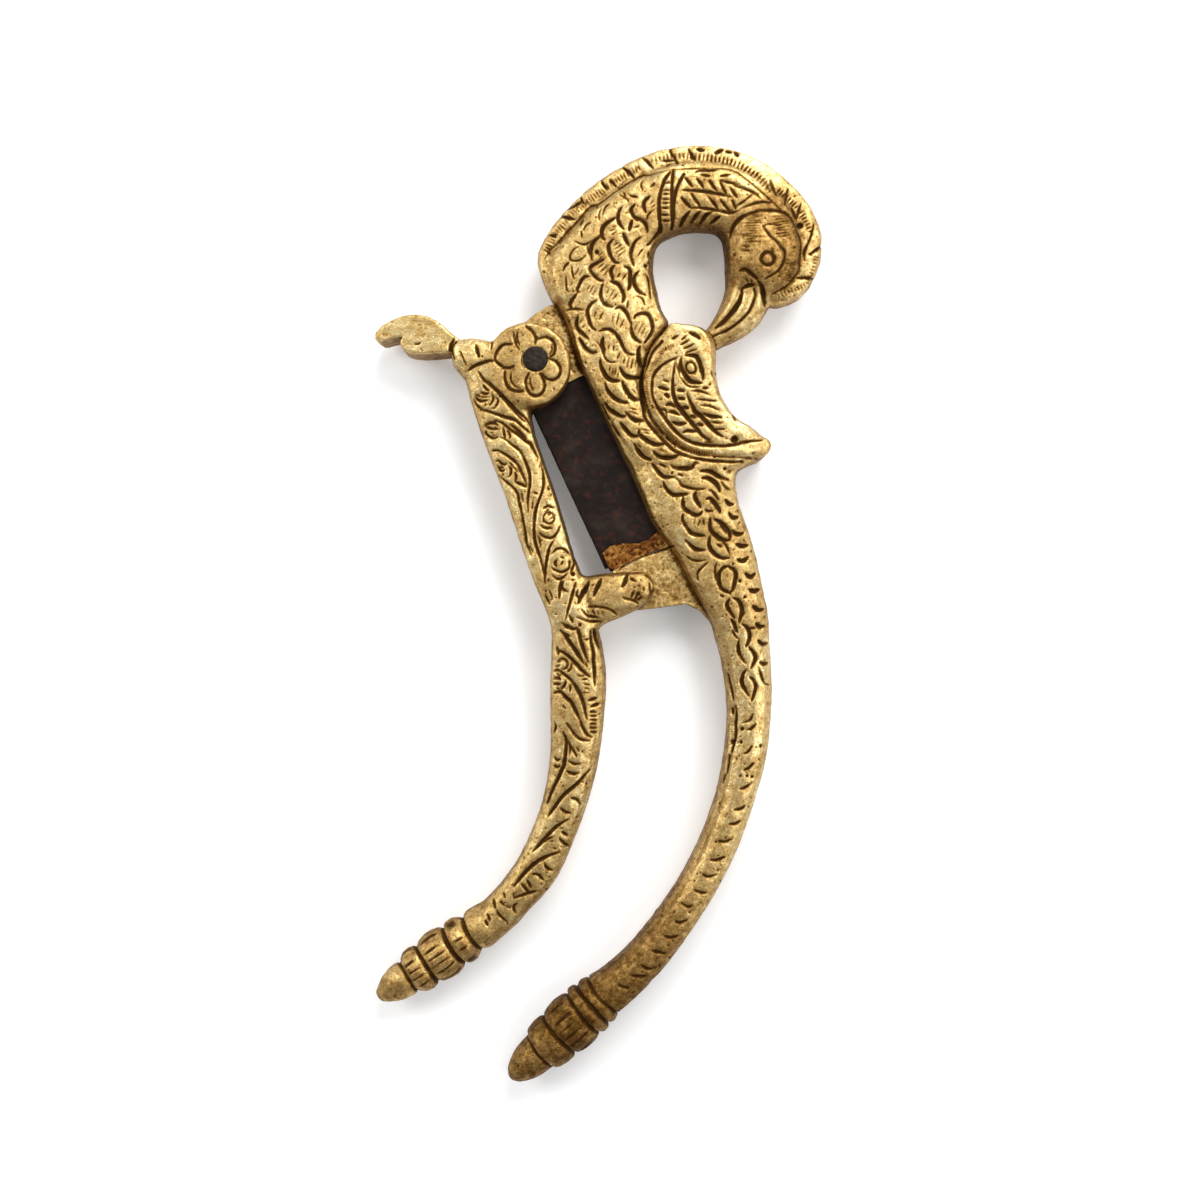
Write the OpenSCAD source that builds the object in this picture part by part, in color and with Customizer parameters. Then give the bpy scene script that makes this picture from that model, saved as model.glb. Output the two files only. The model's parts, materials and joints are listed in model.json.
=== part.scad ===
// Betel nut cutter: two cast brass levers on one iron rivet, with an iron blade set in the bird lever.
// It lies flat. X is to the right, Y towards the crest, Z up. The rivet's axis is the Z axis.
// The rear boss rests on z = 0. Lengths are in mm and angles in degrees.

/* [Pivot] */
// radius of the rivet's shank
rivet_r = 2.3; // [1.8:0.1:2.8]
// radial clearance between the rivet and the turning eye
eye_clear = 0.05; // [0.02:0.01:0.08]
// radius of the eye on the bird lever
eye_r = 5.8; // [5:0.1:5.8]
// height of the rivet's domed end above the front boss
rivet_dome = 0.25; // [0.1:0.05:0.6]
// radius of the two bosses
boss_r = 7.9; // [7.5:0.1:8]
// centre of the bosses across the lever, seen from the rivet
boss_x = -1.4; // [-1.6:0.1:-1]
// centre of the bosses along the lever, seen from the rivet
boss_y = -1; // [-1.2:0.1:-0.6]
// height of the front boss's face above the rest plane
boss_top = 12.5; // [12:0.1:13]
// rounding of the outer rim of a boss
boss_round = 0.8; // [0.3:0.1:1.5]

/* [Thumb scroll] */
// thickness of the thumb scroll
scroll_t = 8.4; // [7:0.1:9]
// rounding of its rim
scroll_round = 0.6; // [0.3:0.1:1]

/* [Clevis slot] */
// height of the mid-plane above the rest plane
mid_z = 6.5;
// thickness of the tongue, the guide lug and the braze
plate_t = 3; // [2.8:0.1:3.2]
// gap on each side of them in the slot
slot_gap = 0.3; // [0.3:0.05:0.5]
// radius of the slot round the rivet
slot_r = 10.2; // [10:0.1:10.8]
// end of the slot under the finger
slot_end_y = -49.4; // [-49.6:0.1:-48.9]

/* [Blade] */
// top end of the cutting edge
edge_top = [-0.9, -8.9];
// low end of the cutting edge
edge_low = [13.6, -40.2];
// thickness of the blade at its back
blade_t = 2.4; // [2:0.1:2.6]
// thickness left at the cutting edge
edge_t = 0.4; // [0.2:0.1:0.8]
// width of the long bevel from the edge
bevel_w = 11; // [6:0.5:11.4]
// width of the blade from its edge to the back set in the body
blade_w = 14; // [13:0.1:14.5]
// how far the blade runs past edge_top, behind the boss
blade_head = 1.8; // [1.2:0.1:1.8]
// length of the blade below edge_top
blade_len = 33.2; // [32.5:0.1:33.5]
// how far the braze reaches up over the blade from the blade's low end
braze_up = 3; // [2:0.1:4]
// how far the braze runs past the blade's low end, down to the guide lug
braze_lip = 0.8; // [0.5:0.1:1.2]

/* [Finials] */
// middle of the joint between the tail handle and its finial
tail_end = [12.9, -119.9];
// direction in which the tail finial points
tail_turn = 221.8; // [219:0.1:225]
// length of the tail finial
tail_finial_len = 24.2; // [20:0.1:28]
// largest radius of the tail finial
tail_finial_r = 5.2; // [4.6:0.1:5.6]
// radius where the tail handle meets its finial
tail_neck_r = 4.3; // [3.8:0.1:4.6]
// middle of the joint between the floral handle and its finial
floral_end = [-7.8, -105.3];
// direction in which the floral finial points
floral_turn = 214.4; // [212:0.1:218]
// length of the floral finial
floral_finial_len = 27.4; // [24:0.1:30]
// largest radius of the floral finial
floral_finial_r = 4.7; // [4.2:0.1:5.2]
// radius where the floral handle meets its finial
floral_neck_r = 3.8; // [3.4:0.1:4.1]

/* [Sub-part] */
// which sub-part to draw

/* [Hidden] */
$fn = 96;
slot_low = mid_z - plate_t / 2 - slot_gap;
slot_high = mid_z + plate_t / 2 + slot_gap;
edge_dir = (edge_low - edge_top) / norm(edge_low - edge_top);
edge_nrm = [-edge_dir[1], edge_dir[0]];
bevel_angle = atan((blade_t - edge_t) / 2 / bevel_w);
lug_start = blade_len + braze_lip;
braze_start = blade_len - braze_up;
scroll_reach = 9;
far = 2 * blade_len;

// Outlines. Each row crosses the form from one edge to the other.
// bird body: left edge x, y, right edge x, y, lowest z, highest z
body_rows = [
  [3.9, 11.2, 22.7, 14.0, 0.9, 12.1],
  [5.0, 8.9, 23.6, 9.9, 0.8, 12.2],
  [6.2, 6.2, 25.0, 6.6, 0.7, 12.3],
  [7.3, 2.3, 21.7, 2.3, 0.6, 12.4],
  [9.0, -2.3, 20.2, -3.8, 0.6, 12.4],
  [11.7, -8.0, 21.2, -9.1, 0.6, 12.4],
  [13.4, -11.6, 24.2, -13.7, 0.6, 12.4],
  [14.9, -14.6, 28.4, -16.7, 0.6, 12.4],
  [16.2, -17.5, 34.1, -18.1, 0.6, 12.4],
  [17.6, -20.2, 41.8, -18.3, 0.6, 12.4],
  [18.7, -22.8, 38.3, -20.4, 0.6, 12.4],
  [20.0, -25.7, 37.6, -22.9, 0.6, 12.4],
  [21.6, -29.7, 38.4, -27.4, 0.7, 12.3],
  [23.6, -32.7, 40.1, -32.1, 0.7, 12.3],
  [26.5, -36.5, 41.6, -37.3, 0.8, 12.2],
  [28.8, -41.1, 42.7, -42.6, 0.8, 12.2],
  [31.2, -45.4, 43.7, -47.5, 0.9, 12.1],
  [33.1, -49.2, 44.0, -51.3, 0.9, 12.0]
];
// wing: outer edge x, y, lowest z, highest z, one row for each body row from the third to the tenth
wing_rows = [
  [26.5, 6.7, 0.4, 12.6],
  [31.0, 6.2, 0.1, 12.9],
  [33.5, 3.4, 0.0, 13.0],
  [33.7, -1.2, 0.0, 13.0],
  [34.5, -6.0, 0.0, 13.0],
  [37.3, -10.5, 0.0, 13.0],
  [40.9, -12.7, 0.1, 12.9],
  [43.9, -15.4, 0.5, 12.5]
];
// neck, head and crest: inner edge x, y, seam with the crest x, y, outer edge x, y,
// lowest and highest z of the neck, lowest and highest z of the crest
neck_rows = [
  [22.7, 14.0, 3.9, 11.2, 3.1, 11.4, 0.9, 12.1, 3.4, 9.6],
  [22.1, 16.9, 2.4, 15.9, 0.8, 16.7, 0.9, 12.1, 3.2, 9.8],
  [22.1, 19.4, 3.3, 19.7, 0.4, 20.9, 0.9, 12.1, 3.0, 10.0],
  [22.5, 21.3, 6.0, 23.9, 3.1, 25.8, 0.9, 12.1, 2.9, 10.1],
  [22.9, 22.4, 10.2, 28.3, 6.9, 30.2, 1.0, 12.0, 2.9, 10.1],
  [23.5, 23.0, 14.7, 31.9, 11.5, 34.2, 1.0, 12.0, 2.9, 10.1],
  [24.0, 23.5, 19.6, 34.8, 17.0, 37.6, 1.1, 11.9, 2.9, 10.1],
  [25.2, 24.1, 25.2, 36.7, 23.4, 40.2, 1.1, 11.9, 2.9, 10.1],
  [27.4, 24.9, 29.9, 37.4, 29.9, 41.0, 1.2, 11.8, 2.9, 10.1],
  [29.7, 25.2, 34.1, 37.2, 35.8, 40.5, 1.1, 11.9, 2.9, 10.1],
  [32.0, 25.2, 38.3, 36.2, 41.3, 38.7, 0.9, 12.1, 2.8, 10.2],
  [34.1, 24.9, 42.3, 34.0, 46.4, 35.3, 0.6, 12.4, 2.7, 10.3],
  [35.2, 23.7, 46.4, 30.6, 50.6, 31.1, 0.4, 12.6, 2.6, 10.4],
  [35.6, 21.8, 48.9, 26.2, 53.3, 26.4, 0.2, 12.8, 2.6, 10.4],
  [35.8, 19.4, 49.8, 22.0, 54.0, 21.6, 0.2, 12.8, 2.6, 10.4],
  [35.9, 17.4, 49.1, 17.8, 52.9, 16.5, 0.3, 12.7, 2.6, 10.4],
  [35.9, 15.9, 47.2, 14.4, 49.8, 12.3, 0.8, 12.2, 2.7, 10.3],
  [36.0, 14.6, 44.5, 12.5, 44.7, 10.2, 1.6, 11.4, 2.9, 10.1]
];
// beak: upper edge x, y, lower edge x, y, lowest z, highest z
beak_rows = [
  [36.0, 14.6, 44.5, 12.5, 1.8, 11.2],
  [35.7, 13.4, 43.8, 10.1, 2.0, 11.0],
  [35.3, 12.0, 42.5, 8.0, 2.2, 10.8],
  [34.5, 10.1, 40.6, 6.1, 2.5, 10.5],
  [33.6, 8.3, 38.1, 4.5, 2.8, 10.2],
  [32.6, 6.8, 35.6, 3.4, 3.2, 9.8],
  [31.2, 5.1, 33.1, 2.1, 3.5, 9.5]
];
// tail handle: inner edge x, y, outer edge x, y, lowest z, highest z
tail_rows = [
  [33.1, -49.2, 44.0, -51.3, 0.9, 12.0],
  [35.1, -56.4, 44.4, -57.2, 1.0, 11.6],
  [36.2, -64.9, 44.5, -64.9, 1.0, 11.2],
  [35.7, -73.5, 43.5, -74.8, 0.9, 10.8],
  [34.0, -82.1, 40.8, -84.6, 0.7, 10.4],
  [30.8, -90.8, 37.4, -93.8, 0.6, 10.2],
  [26.2, -99.4, 32.3, -103.2, 0.5, 10.1],
  [19.9, -108.0, 25.6, -112.9, 0.4, 10.0],
  [14.6, -113.5, 20.1, -119.1, 0.4, 9.8]
];
// arm: outer edge x, y, inner edge x, y, lowest z, highest z
arm_rows = [
  [-15.9, 1.6, -14.2, 4.0, 1.6, 11.4],
  [-15.6, -0.6, -8.6, 3.8, 0.8, 12.2],
  [-13.4, -3.2, -2.2, -1.2, 0.6, 12.4],
  [-12.3, -7.2, -1.1, -8.9, 0.9, 12.1],
  [-10.4, -13.3, -0.3, -13.5, 1.1, 11.9],
  [-8.1, -19.4, 1.8, -19.6, 1.2, 11.8],
  [-5.8, -25.3, 3.9, -25.7, 1.2, 11.8],
  [-3.9, -31.2, 5.6, -31.4, 1.2, 11.8],
  [-2.0, -36.9, 7.1, -36.5, 1.2, 11.8],
  [-0.1, -42.2, 8.8, -40.5, 1.2, 11.8],
  [1.6, -46.0, 10.2, -45.4, 1.2, 11.8],
  [2.9, -50.0, 11.7, -50.4, 1.3, 11.7]
];
// bottom of the slot in the arm
arm_slot = [
  [-4.0, -8.0], [-3.2, -13.8], [-1.0, -20.2], [1.2, -26.4],
  [2.9, -32.2], [4.4, -37.2], [6.2, -41.4], [7.0, -45.0]
];
// floral handle: outer edge x, y, inner edge x, y, lowest z, highest z
floral_rows = [
  [2.9, -50.0, 11.7, -50.4, 1.3, 11.7],
  [2.9, -54.4, 12.6, -54.4, 1.3, 11.5],
  [2.7, -60.1, 13.2, -60.1, 1.2, 11.2],
  [2.7, -66.7, 12.8, -66.7, 1.1, 10.9],
  [2.7, -73.5, 12.0, -73.8, 1.0, 10.5],
  [1.6, -81.2, 10.4, -80.8, 0.9, 10.1],
  [-0.2, -87.0, 7.9, -88.4, 0.8, 9.7],
  [-3.2, -93.6, 3.9, -97.6, 0.6, 9.3],
  [-6.8, -98.9, -0.8, -103.2, 0.5, 8.9]
];
// finger: upper edge x, y, lower edge x, y, height above the rest plane
finger_rows = [
  [8.8, -40.5, 11.7, -50.4, 12.0],
  [12.1, -40.0, 13.2, -49.2, 12.4],
  [15.6, -39.7, 16.2, -48.0, 12.7],
  [18.4, -39.6, 19.1, -46.6, 12.8],
  [20.4, -39.7, 20.7, -45.4, 12.7],
  [21.7, -40.6, 21.7, -44.3, 12.3],
  [22.3, -41.7, 22.3, -43.1, 11.6]
];
// thumb scroll: its back from the arm to the tip, then the open mouth and the lower lip back to the arm
scroll_outline = [
  [-14.2, 4.0], [-15.5, 4.8], [-16.9, 6.2], [-18.5, 7.5], [-20.4, 8.4], [-22.6, 8.8],
  [-24.9, 8.5], [-27.0, 7.7], [-28.9, 6.6], [-30.1, 5.3], [-30.2, 4.2], [-29.2, 3.6],
  [-27.3, 4.1], [-25.7, 4.5], [-24.7, 4.7], [-25.5, 3.8], [-25.4, 2.8], [-24.5, 1.8],
  [-23.3, 1.3], [-20.7, 1.2], [-17.8, 1.4], [-15.9, 1.6]
];
// the point that the scroll's rounded rim narrows towards
scroll_mid = [-21.5, 5];
// upper side of the tongue, from the body round to the eye
tongue_top = [[3.9, 11.2], [2.2, 10.7], [0.3, 9.5], [-2.0, 7.8], [-4.0, 5.4]];
// guide lug: low end and the hidden end under the finger
lug_low = [[33.1, -49.2], [31.3, -47.0], [28.4, -45.6], [20.8, -46.6], [14.4, -47.1], [14.2, -41.4]];
// finials: distance from the handle as a share of the length, radius as a share of the largest radius
tail_profile = [
  [0.04, 0.87], [0.08, 0.91], [0.11, 0.88], [0.125, 0.87], [0.15, 0.96], [0.19, 0.97],
  [0.215, 0.9], [0.23, 0.92], [0.27, 0.99], [0.34, 1], [0.41, 0.98], [0.455, 0.92],
  [0.475, 0.87], [0.505, 0.93], [0.56, 0.92], [0.63, 0.87], [0.66, 0.81], [0.68, 0.73],
  [0.72, 0.71], [0.79, 0.67], [0.85, 0.6], [0.91, 0.48], [0.96, 0.33], [0.99, 0.15]
];
floral_profile = [
  [0.04, 0.82], [0.1, 0.86], [0.155, 0.86], [0.19, 0.78], [0.215, 0.76], [0.24, 0.84],
  [0.27, 0.93], [0.315, 0.93], [0.345, 0.86], [0.36, 0.82], [0.385, 0.93], [0.435, 1],
  [0.49, 0.99], [0.545, 0.93], [0.565, 0.82], [0.595, 0.88], [0.635, 0.92], [0.68, 0.88],
  [0.71, 0.76], [0.735, 0.7], [0.775, 0.74], [0.83, 0.7], [0.89, 0.59], [0.945, 0.42],
  [0.985, 0.23]
];

// value on a smooth curve through b and c, with a and d beside them
function between(a, b, c, d, u) =
  b + (c - a) * u / 2 + (2 * a - 5 * b + 4 * c - d) * u * u / 2 + (3 * b - a - 3 * c + d) * u * u * u / 2;
// rows on a smooth curve through the given rows, k for each step
function smooth(rows, k) = [
  for (i = [0:len(rows) - 2])
    for (j = [0:k - 1])
      between(rows[max(i - 1, 0)], rows[i], rows[i + 1], rows[min(i + 2, len(rows) - 1)], j / k),
  rows[len(rows) - 1]
];
function part_of(list, from, to) = [for (i = [from:to]) list[i]];
function mix(a, b, t) = a + (b - a) * t;
// height of a section's dome at t across it, for roundness n
function dome(t, n) = pow(max(1 - pow(abs(2 * t - 1), n), 0), 1 / n);
// height of a section at t across it, with walls wa and wb at its two edges
function height(t, n, wa, wb) = mix(mix(wa, wb, t), 1, dome(t, n));
function place(k, m) = (1 - cos(180 * k / m)) / 2;
// closed ring of points round one row; base = 0 keeps the low side flat
function ring(r, m, n, wa, wb, base) = let (
  mid = mix(r[4], (r[4] + r[5]) / 2, base),
  up = r[5] - mid,
  down = mid - r[4]
) concat(
  [
    for (k = [0:m])
      let (t = place(k, m)) [mix(r[0], r[2], t), mix(r[1], r[3], t), mid + up * height(t, n, wa, wb)]
  ],
  [
    for (k = [m:-1:0])
      let (t = place(k, m)) [mix(r[0], r[2], t), mix(r[1], r[3], t), mid - down * height(t, n, wa, wb)]
  ]
);
function turn_of(rows) = let (
  a = [rows[0][2] - rows[0][0], rows[0][3] - rows[0][1]],
  b = [rows[1][0] + rows[1][2] - rows[0][0] - rows[0][2], rows[1][1] + rows[1][3] - rows[0][1] - rows[0][3]]
) a[0] * b[1] - a[1] * b[0];
function facing(f, flip) = flip ? [f[0], f[2], f[1]] : f;

// solid swept through the rows
module loft(rows, m = 7, n = 2.6, wa = 0.3, wb = 0.3, base = 1) {
  s = 2 * m + 2;
  last = len(rows) - 1;
  flip = turn_of(rows) > 0;
  points = [for (r = rows) each ring(r, m, n, wa, wb, base)];
  sides = [
    for (i = [0:last - 1])
      for (k = [0:s - 1])
        each [
          [i * s + k, i * s + (k + 1) % s, (i + 1) * s + (k + 1) % s],
          [i * s + k, (i + 1) * s + (k + 1) % s, (i + 1) * s + k]
        ]
  ];
  first_cap = [for (k = [0:m - 1]) each [[k, s - 1 - k, s - 2 - k], [k, s - 2 - k, k + 1]]];
  last_cap = [
    for (k = [0:m - 1])
      each [
        [last * s + k, last * s + s - 2 - k, last * s + s - 1 - k],
        [last * s + k, last * s + k + 1, last * s + s - 2 - k]
      ]
  ];
  polyhedron(points = points, faces = [for (f = concat(sides, first_cap, last_cap)) facing(f, flip)]);
}

body_line = smooth(body_rows, 3);
neck_line = smooth(neck_rows, 2);
wing_line = smooth(wing_rows, 3);
function neck_part(from, to) = [
  for (i = [from:to])
    let (r = neck_line[i]) [r[0], r[1], r[2], r[3], r[6], r[7]]
];
// the line where the wing rises from the body, joined to the wing's outer edge
wing_sections = [
  for (i = [0:len(wing_line) - 1])
    let (b = body_line[6 + i], w = wing_line[i]) [b[2], b[3], w[0], w[1], w[2], w[3]]
];
wing_outline = concat(
  [for (r = wing_sections) [r[0], r[1]]],
  [for (i = [len(wing_sections) - 1:-1:0]) [wing_sections[i][2], wing_sections[i][3]]]
);
// end row of a handle, square to its finial
function end_row(p, turn, r, z) = [
  p[0] + r * sin(turn), p[1] - r * cos(turn), p[0] - r * sin(turn), p[1] + r * cos(turn), z - r, z + r
];

// point at u along the cutting edge and v behind it
function at_edge(u, v) = edge_top + u * edge_dir + v * edge_nrm;

// everything on the blade's side of the body's left edge
module beside_body() {
  polygon(concat(
    [[body_rows[0][0] - far, body_rows[0][1] + 1]],
    [for (r = body_line) [r[0], r[1]]],
    [[body_rows[0][0] - far, body_line[len(body_line) - 1][1]]]
  ));
}

module blade_outline() {
  polygon([
    at_edge(-blade_head, 0), at_edge(blade_len, 0), at_edge(blade_len, blade_w), at_edge(-blade_head, blade_w)
  ]);
}

module tongue_outline() {
  difference() {
    intersection() {
      union() {
        circle(r = eye_r);
        polygon(concat(
          tongue_top,
          [[0, 0], at_edge(-blade_head, blade_w / 3), at_edge(-blade_head, blade_w)],
          [[body_rows[0][0] * 3, body_rows[0][1]]]
        ));
      }
      beside_body();
    }
    blade_outline();
  }
}

module plate(t) {
  translate([0, 0, mid_z - t / 2])
    linear_extrude(height = t)
      children();
}

module blade_solid() {
  difference() {
    plate(blade_t)
      blade_outline();
    for (side = [0, 1])
      translate([edge_top[0], edge_top[1], mid_z])
        mirror([0, 0, side])
          rotate([0, 0, atan2(edge_dir[1], edge_dir[0])])
            translate([0, 0, edge_t / 2])
              rotate([bevel_angle, 0, 0])
                translate([-blade_len / 2, -blade_w / 2, 0])
                  cube([2 * blade_len, blade_w / 2 + bevel_w / cos(bevel_angle), blade_t]);
  }
}

module bird_body() {
  color("goldenrod")
    difference() {
      loft(body_line, m = 8, n = 2.6, wa = 0.45, wb = 0.4);
      plate(blade_t)
        blade_outline();
    }
}

module bird_neck() {
  color("goldenrod")
    loft(neck_part(0, 13), m = 7, n = 2.6, wa = 0.3, wb = 0.7);
}

module neck_collar() {
  color("goldenrod")
    loft(
      [for (r = neck_part(13, 15)) [r[0], r[1], r[2], r[3], r[4] - 0.3, r[5] + 0.3]],
      m = 7, n = 2.8, wa = 0.4, wb = 0.7
    );
}

module bird_nape() {
  color("goldenrod")
    loft(neck_part(15, 23), m = 7, n = 2.6, wa = 0.3, wb = 0.7);
}

module bird_head() {
  color("goldenrod")
    loft(neck_part(23, 34), m = 7, n = 2.4, wa = 0.3, wb = 0.7);
}

module bird_crest() {
  color("goldenrod")
    loft([for (r = neck_line) [r[2], r[3], r[4], r[5], r[8], r[9]]], m = 4, n = 2.4, wa = 1, wb = 0.4);
}

module bird_beak() {
  color("goldenrod")
    difference() {
      loft(smooth(beak_rows, 2), m = 6, n = 2.2, wa = 0.3, wb = 0.3);
      translate([0, 0, -1])
        linear_extrude(height = 15)
          polygon(wing_outline);
    }
}

module bird_wing() {
  color("goldenrod")
    loft(wing_sections, m = 6, n = 4, wa = 0.8, wb = 0.65);
}

module tail_handle() {
  color("goldenrod")
    loft(
      smooth(concat(tail_rows, [end_row(tail_end, tail_turn, tail_neck_r, tail_finial_r)]), 3),
      m = 7, n = 2.3, wa = 0.25, wb = 0.25
    );
}

// finial turned about its axis, lying with its largest radius on the rest plane
module finial(profile, p, turn, neck_r, len, r) {
  translate([p[0], p[1], r])
    rotate([0, 0, turn])
      rotate([0, 90, 0])
        rotate_extrude()
          polygon(concat([[0, 0], [neck_r, 0]], [for (q = profile) [q[1] * r, q[0] * len]], [[0, len]]));
}

module tail_finial() {
  color("goldenrod")
    finial(tail_profile, tail_end, tail_turn, tail_neck_r, tail_finial_len, tail_finial_r);
}

module pivot_tongue() {
  color("goldenrod")
    difference() {
      plate(plate_t)
        tongue_outline();
      translate([0, 0, slot_low])
        cylinder(r = rivet_r + eye_clear, h = slot_high - slot_low);
    }
}

module guide_lug() {
  color("goldenrod")
    plate(plate_t)
      intersection() {
        polygon(concat(lug_low, [at_edge(lug_start, 1.2), at_edge(lug_start, blade_w), lug_low[0] + [3, 7]]));
        beside_body();
      }
}

module blade() {
  color("dimgray")
    blade_solid();
}

module blade_braze() {
  color("darkgoldenrod")
    difference() {
      plate(plate_t)
        intersection() {
          polygon([
            at_edge(braze_start, 0.7), at_edge(braze_start - 0.5, 2.6), at_edge(braze_start, 5.2),
            at_edge(braze_start + 1.2, 7.6), at_edge(braze_start + 1.4, 9.8),
            at_edge(braze_start + 0.2, blade_w),
            at_edge(lug_start, blade_w), at_edge(lug_start, 0.7)
          ]);
          beside_body();
        }
      blade_solid();
    }
}

module anvil_arm() {
  color("goldenrod")
    difference() {
      loft(smooth(arm_rows, 2), m = 7, n = 3, wa = 0.5, wb = 0.6);
      translate([0, 0, slot_low])
        linear_extrude(height = slot_high - slot_low)
          union() {
            circle(r = slot_r);
            polygon(concat(arm_slot, [[7.6, slot_end_y], [20, slot_end_y], [20, -8]]));
          }
      translate([boss_x, boss_y, -1])
        cylinder(r = boss_r, h = 15);
    }
}

// boss with its rounded rim at height h and its flat inner face at 0
module boss(h) {
  difference() {
    translate([boss_x, boss_y, 0])
      rotate_extrude()
        polygon(concat(
          [[0, 0], [boss_r, 0]],
          [for (a = [0:15:90]) [boss_r - boss_round * (1 - cos(a)), h - boss_round * (1 - sin(a))]],
          [[0, h]]
        ));
    translate([0, 0, -1])
      cylinder(r = rivet_r, h = h + 2);
  }
}

module front_boss() {
  color("goldenrod")
    translate([0, 0, slot_high])
      boss(boss_top - slot_high);
}

module rear_boss() {
  color("goldenrod")
    translate([0, 0, slot_low])
      mirror([0, 0, 1])
        boss(slot_low);
}

// one half of the thumb scroll, from the mid-plane up to its face
module scroll_half() {
  linear_extrude(height = scroll_t / 2 - scroll_round)
    polygon(scroll_outline);
  translate([scroll_mid[0], scroll_mid[1], scroll_t / 2 - scroll_round])
    linear_extrude(height = scroll_round, scale = 1 - scroll_round / scroll_reach)
      translate(-scroll_mid)
        polygon(scroll_outline);
}

module thumb_scroll() {
  color("goldenrod")
    translate([0, 0, mid_z])
      union() {
        scroll_half();
        mirror([0, 0, 1])
          scroll_half();
      }
}

module finger() {
  rows = [for (r = finger_rows) [r[0], r[1], r[2], r[3], slot_high, r[4]]];
  loft(smooth(rows, 2), m = 6, n = 2.4, wa = 0.5, wb = 0.5, base = 0);
}

module front_finger() {
  color("goldenrod")
    finger();
}

module rear_finger() {
  color("goldenrod")
    translate([0, 0, 2 * mid_z])
      mirror([0, 0, 1])
        finger();
}

module floral_handle() {
  color("goldenrod")
    loft(
      smooth(concat(floral_rows, [end_row(floral_end, floral_turn, floral_neck_r, floral_finial_r)]), 3),
      m = 7, n = 2.4, wa = 0.3, wb = 0.3
    );
}

module floral_finial() {
  color("goldenrod")
    finial(floral_profile, floral_end, floral_turn, floral_neck_r, floral_finial_len, floral_finial_r);
}

module pivot_rivet() {
  color("dimgray")
    rotate_extrude()
      polygon([
        [0, 0], [rivet_r, 0], [rivet_r, boss_top], [rivet_r * 0.8, boss_top + rivet_dome * 0.6],
        [rivet_r * 0.4, boss_top + rivet_dome * 0.9], [0, boss_top + rivet_dome]
      ]);
}

bird_body();
bird_neck();
neck_collar();
bird_nape();
bird_head();
bird_beak();
bird_crest();
bird_wing();
tail_handle();
tail_finial();
pivot_tongue();
guide_lug();
blade();
blade_braze();
anvil_arm();
front_boss();
rear_boss();
thumb_scroll();
front_finger();
rear_finger();
floral_handle();
floral_finial();
pivot_rivet();
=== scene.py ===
# %% [markdown]
# # Betel nut cutter
# Two cast brass levers turn on one iron rivet. A bird lever holds an iron blade, and a floral lever is the
# anvil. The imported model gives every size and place. This lesson gives the castings their rounded edges,
# their chased ornament and their finishes. All lengths are in millimetres until a mesh is handed to
# Blender, which uses metres.

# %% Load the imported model
import json
import math
import bmesh
import bpy
import numpy as np
from mathutils.bvhtree import BVHTree
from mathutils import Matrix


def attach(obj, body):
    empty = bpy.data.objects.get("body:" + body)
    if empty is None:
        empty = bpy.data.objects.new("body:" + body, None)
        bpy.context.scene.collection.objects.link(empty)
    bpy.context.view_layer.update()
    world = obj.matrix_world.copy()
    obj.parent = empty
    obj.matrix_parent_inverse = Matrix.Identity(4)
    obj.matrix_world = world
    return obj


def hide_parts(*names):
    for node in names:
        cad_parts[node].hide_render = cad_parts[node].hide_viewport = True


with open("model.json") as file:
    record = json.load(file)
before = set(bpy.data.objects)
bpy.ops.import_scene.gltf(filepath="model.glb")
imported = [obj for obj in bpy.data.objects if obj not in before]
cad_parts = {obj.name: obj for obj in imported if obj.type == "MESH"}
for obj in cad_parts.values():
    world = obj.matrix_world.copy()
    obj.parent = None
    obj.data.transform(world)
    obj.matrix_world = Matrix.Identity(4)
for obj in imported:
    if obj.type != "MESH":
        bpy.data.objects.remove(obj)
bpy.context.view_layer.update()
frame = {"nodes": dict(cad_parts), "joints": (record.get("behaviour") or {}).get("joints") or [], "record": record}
MM = 0.001

# %% [markdown]
# ## The camera
# The photograph looks straight down on the cutter, from about a forearm's length. A camera that hangs over
# the same point and covers the same width gives the same perspective, so a place in the photograph can be
# worked out on the real object. Blender's camera looks down when it isn't turned.

# %% Camera
PHOTO_SIDE_PX = 1200
PHOTO_CENTRE_PX = PHOTO_SIDE_PX / 2
MM_PER_PX = 0.19            # at the mid-plane, from the cutter's real length
CAMERA_RISE_MM = 300.0      # above the mid-plane
VIEW_X_MM, VIEW_Y_MM = 12.05, -44.86
SENSOR_MM = 36.0
MID_MM = next(j for j in frame["joints"] if j["name"] == "lever_pivot")["pos_m"][2] / MM
CAMERA_Z_MM = MID_MM + CAMERA_RISE_MM

lens = bpy.data.cameras.new("overhead_camera")
lens.sensor_width = SENSOR_MM
lens.lens = SENSOR_MM * CAMERA_RISE_MM / (PHOTO_SIDE_PX * MM_PER_PX)
lens.clip_start = 10 * MM
camera = bpy.data.objects.new("overhead_camera", lens)
camera.location = (VIEW_X_MM * MM, VIEW_Y_MM * MM, CAMERA_Z_MM * MM)
bpy.context.scene.collection.objects.link(camera)
bpy.context.scene.camera = camera


def photo_px(points):
    """Where points of the cutter, in mm, are seen in the photograph: columns and rows of pixels."""
    size = MM_PER_PX * (CAMERA_Z_MM - points[:, 2]) / CAMERA_RISE_MM
    column = PHOTO_CENTRE_PX + (points[:, 0] - VIEW_X_MM) / size
    row = PHOTO_CENTRE_PX - (points[:, 1] - VIEW_Y_MM) / size
    return column, row


print(f"lens {lens.lens:.1f} mm, {CAMERA_Z_MM:.1f} mm above the table")

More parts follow.
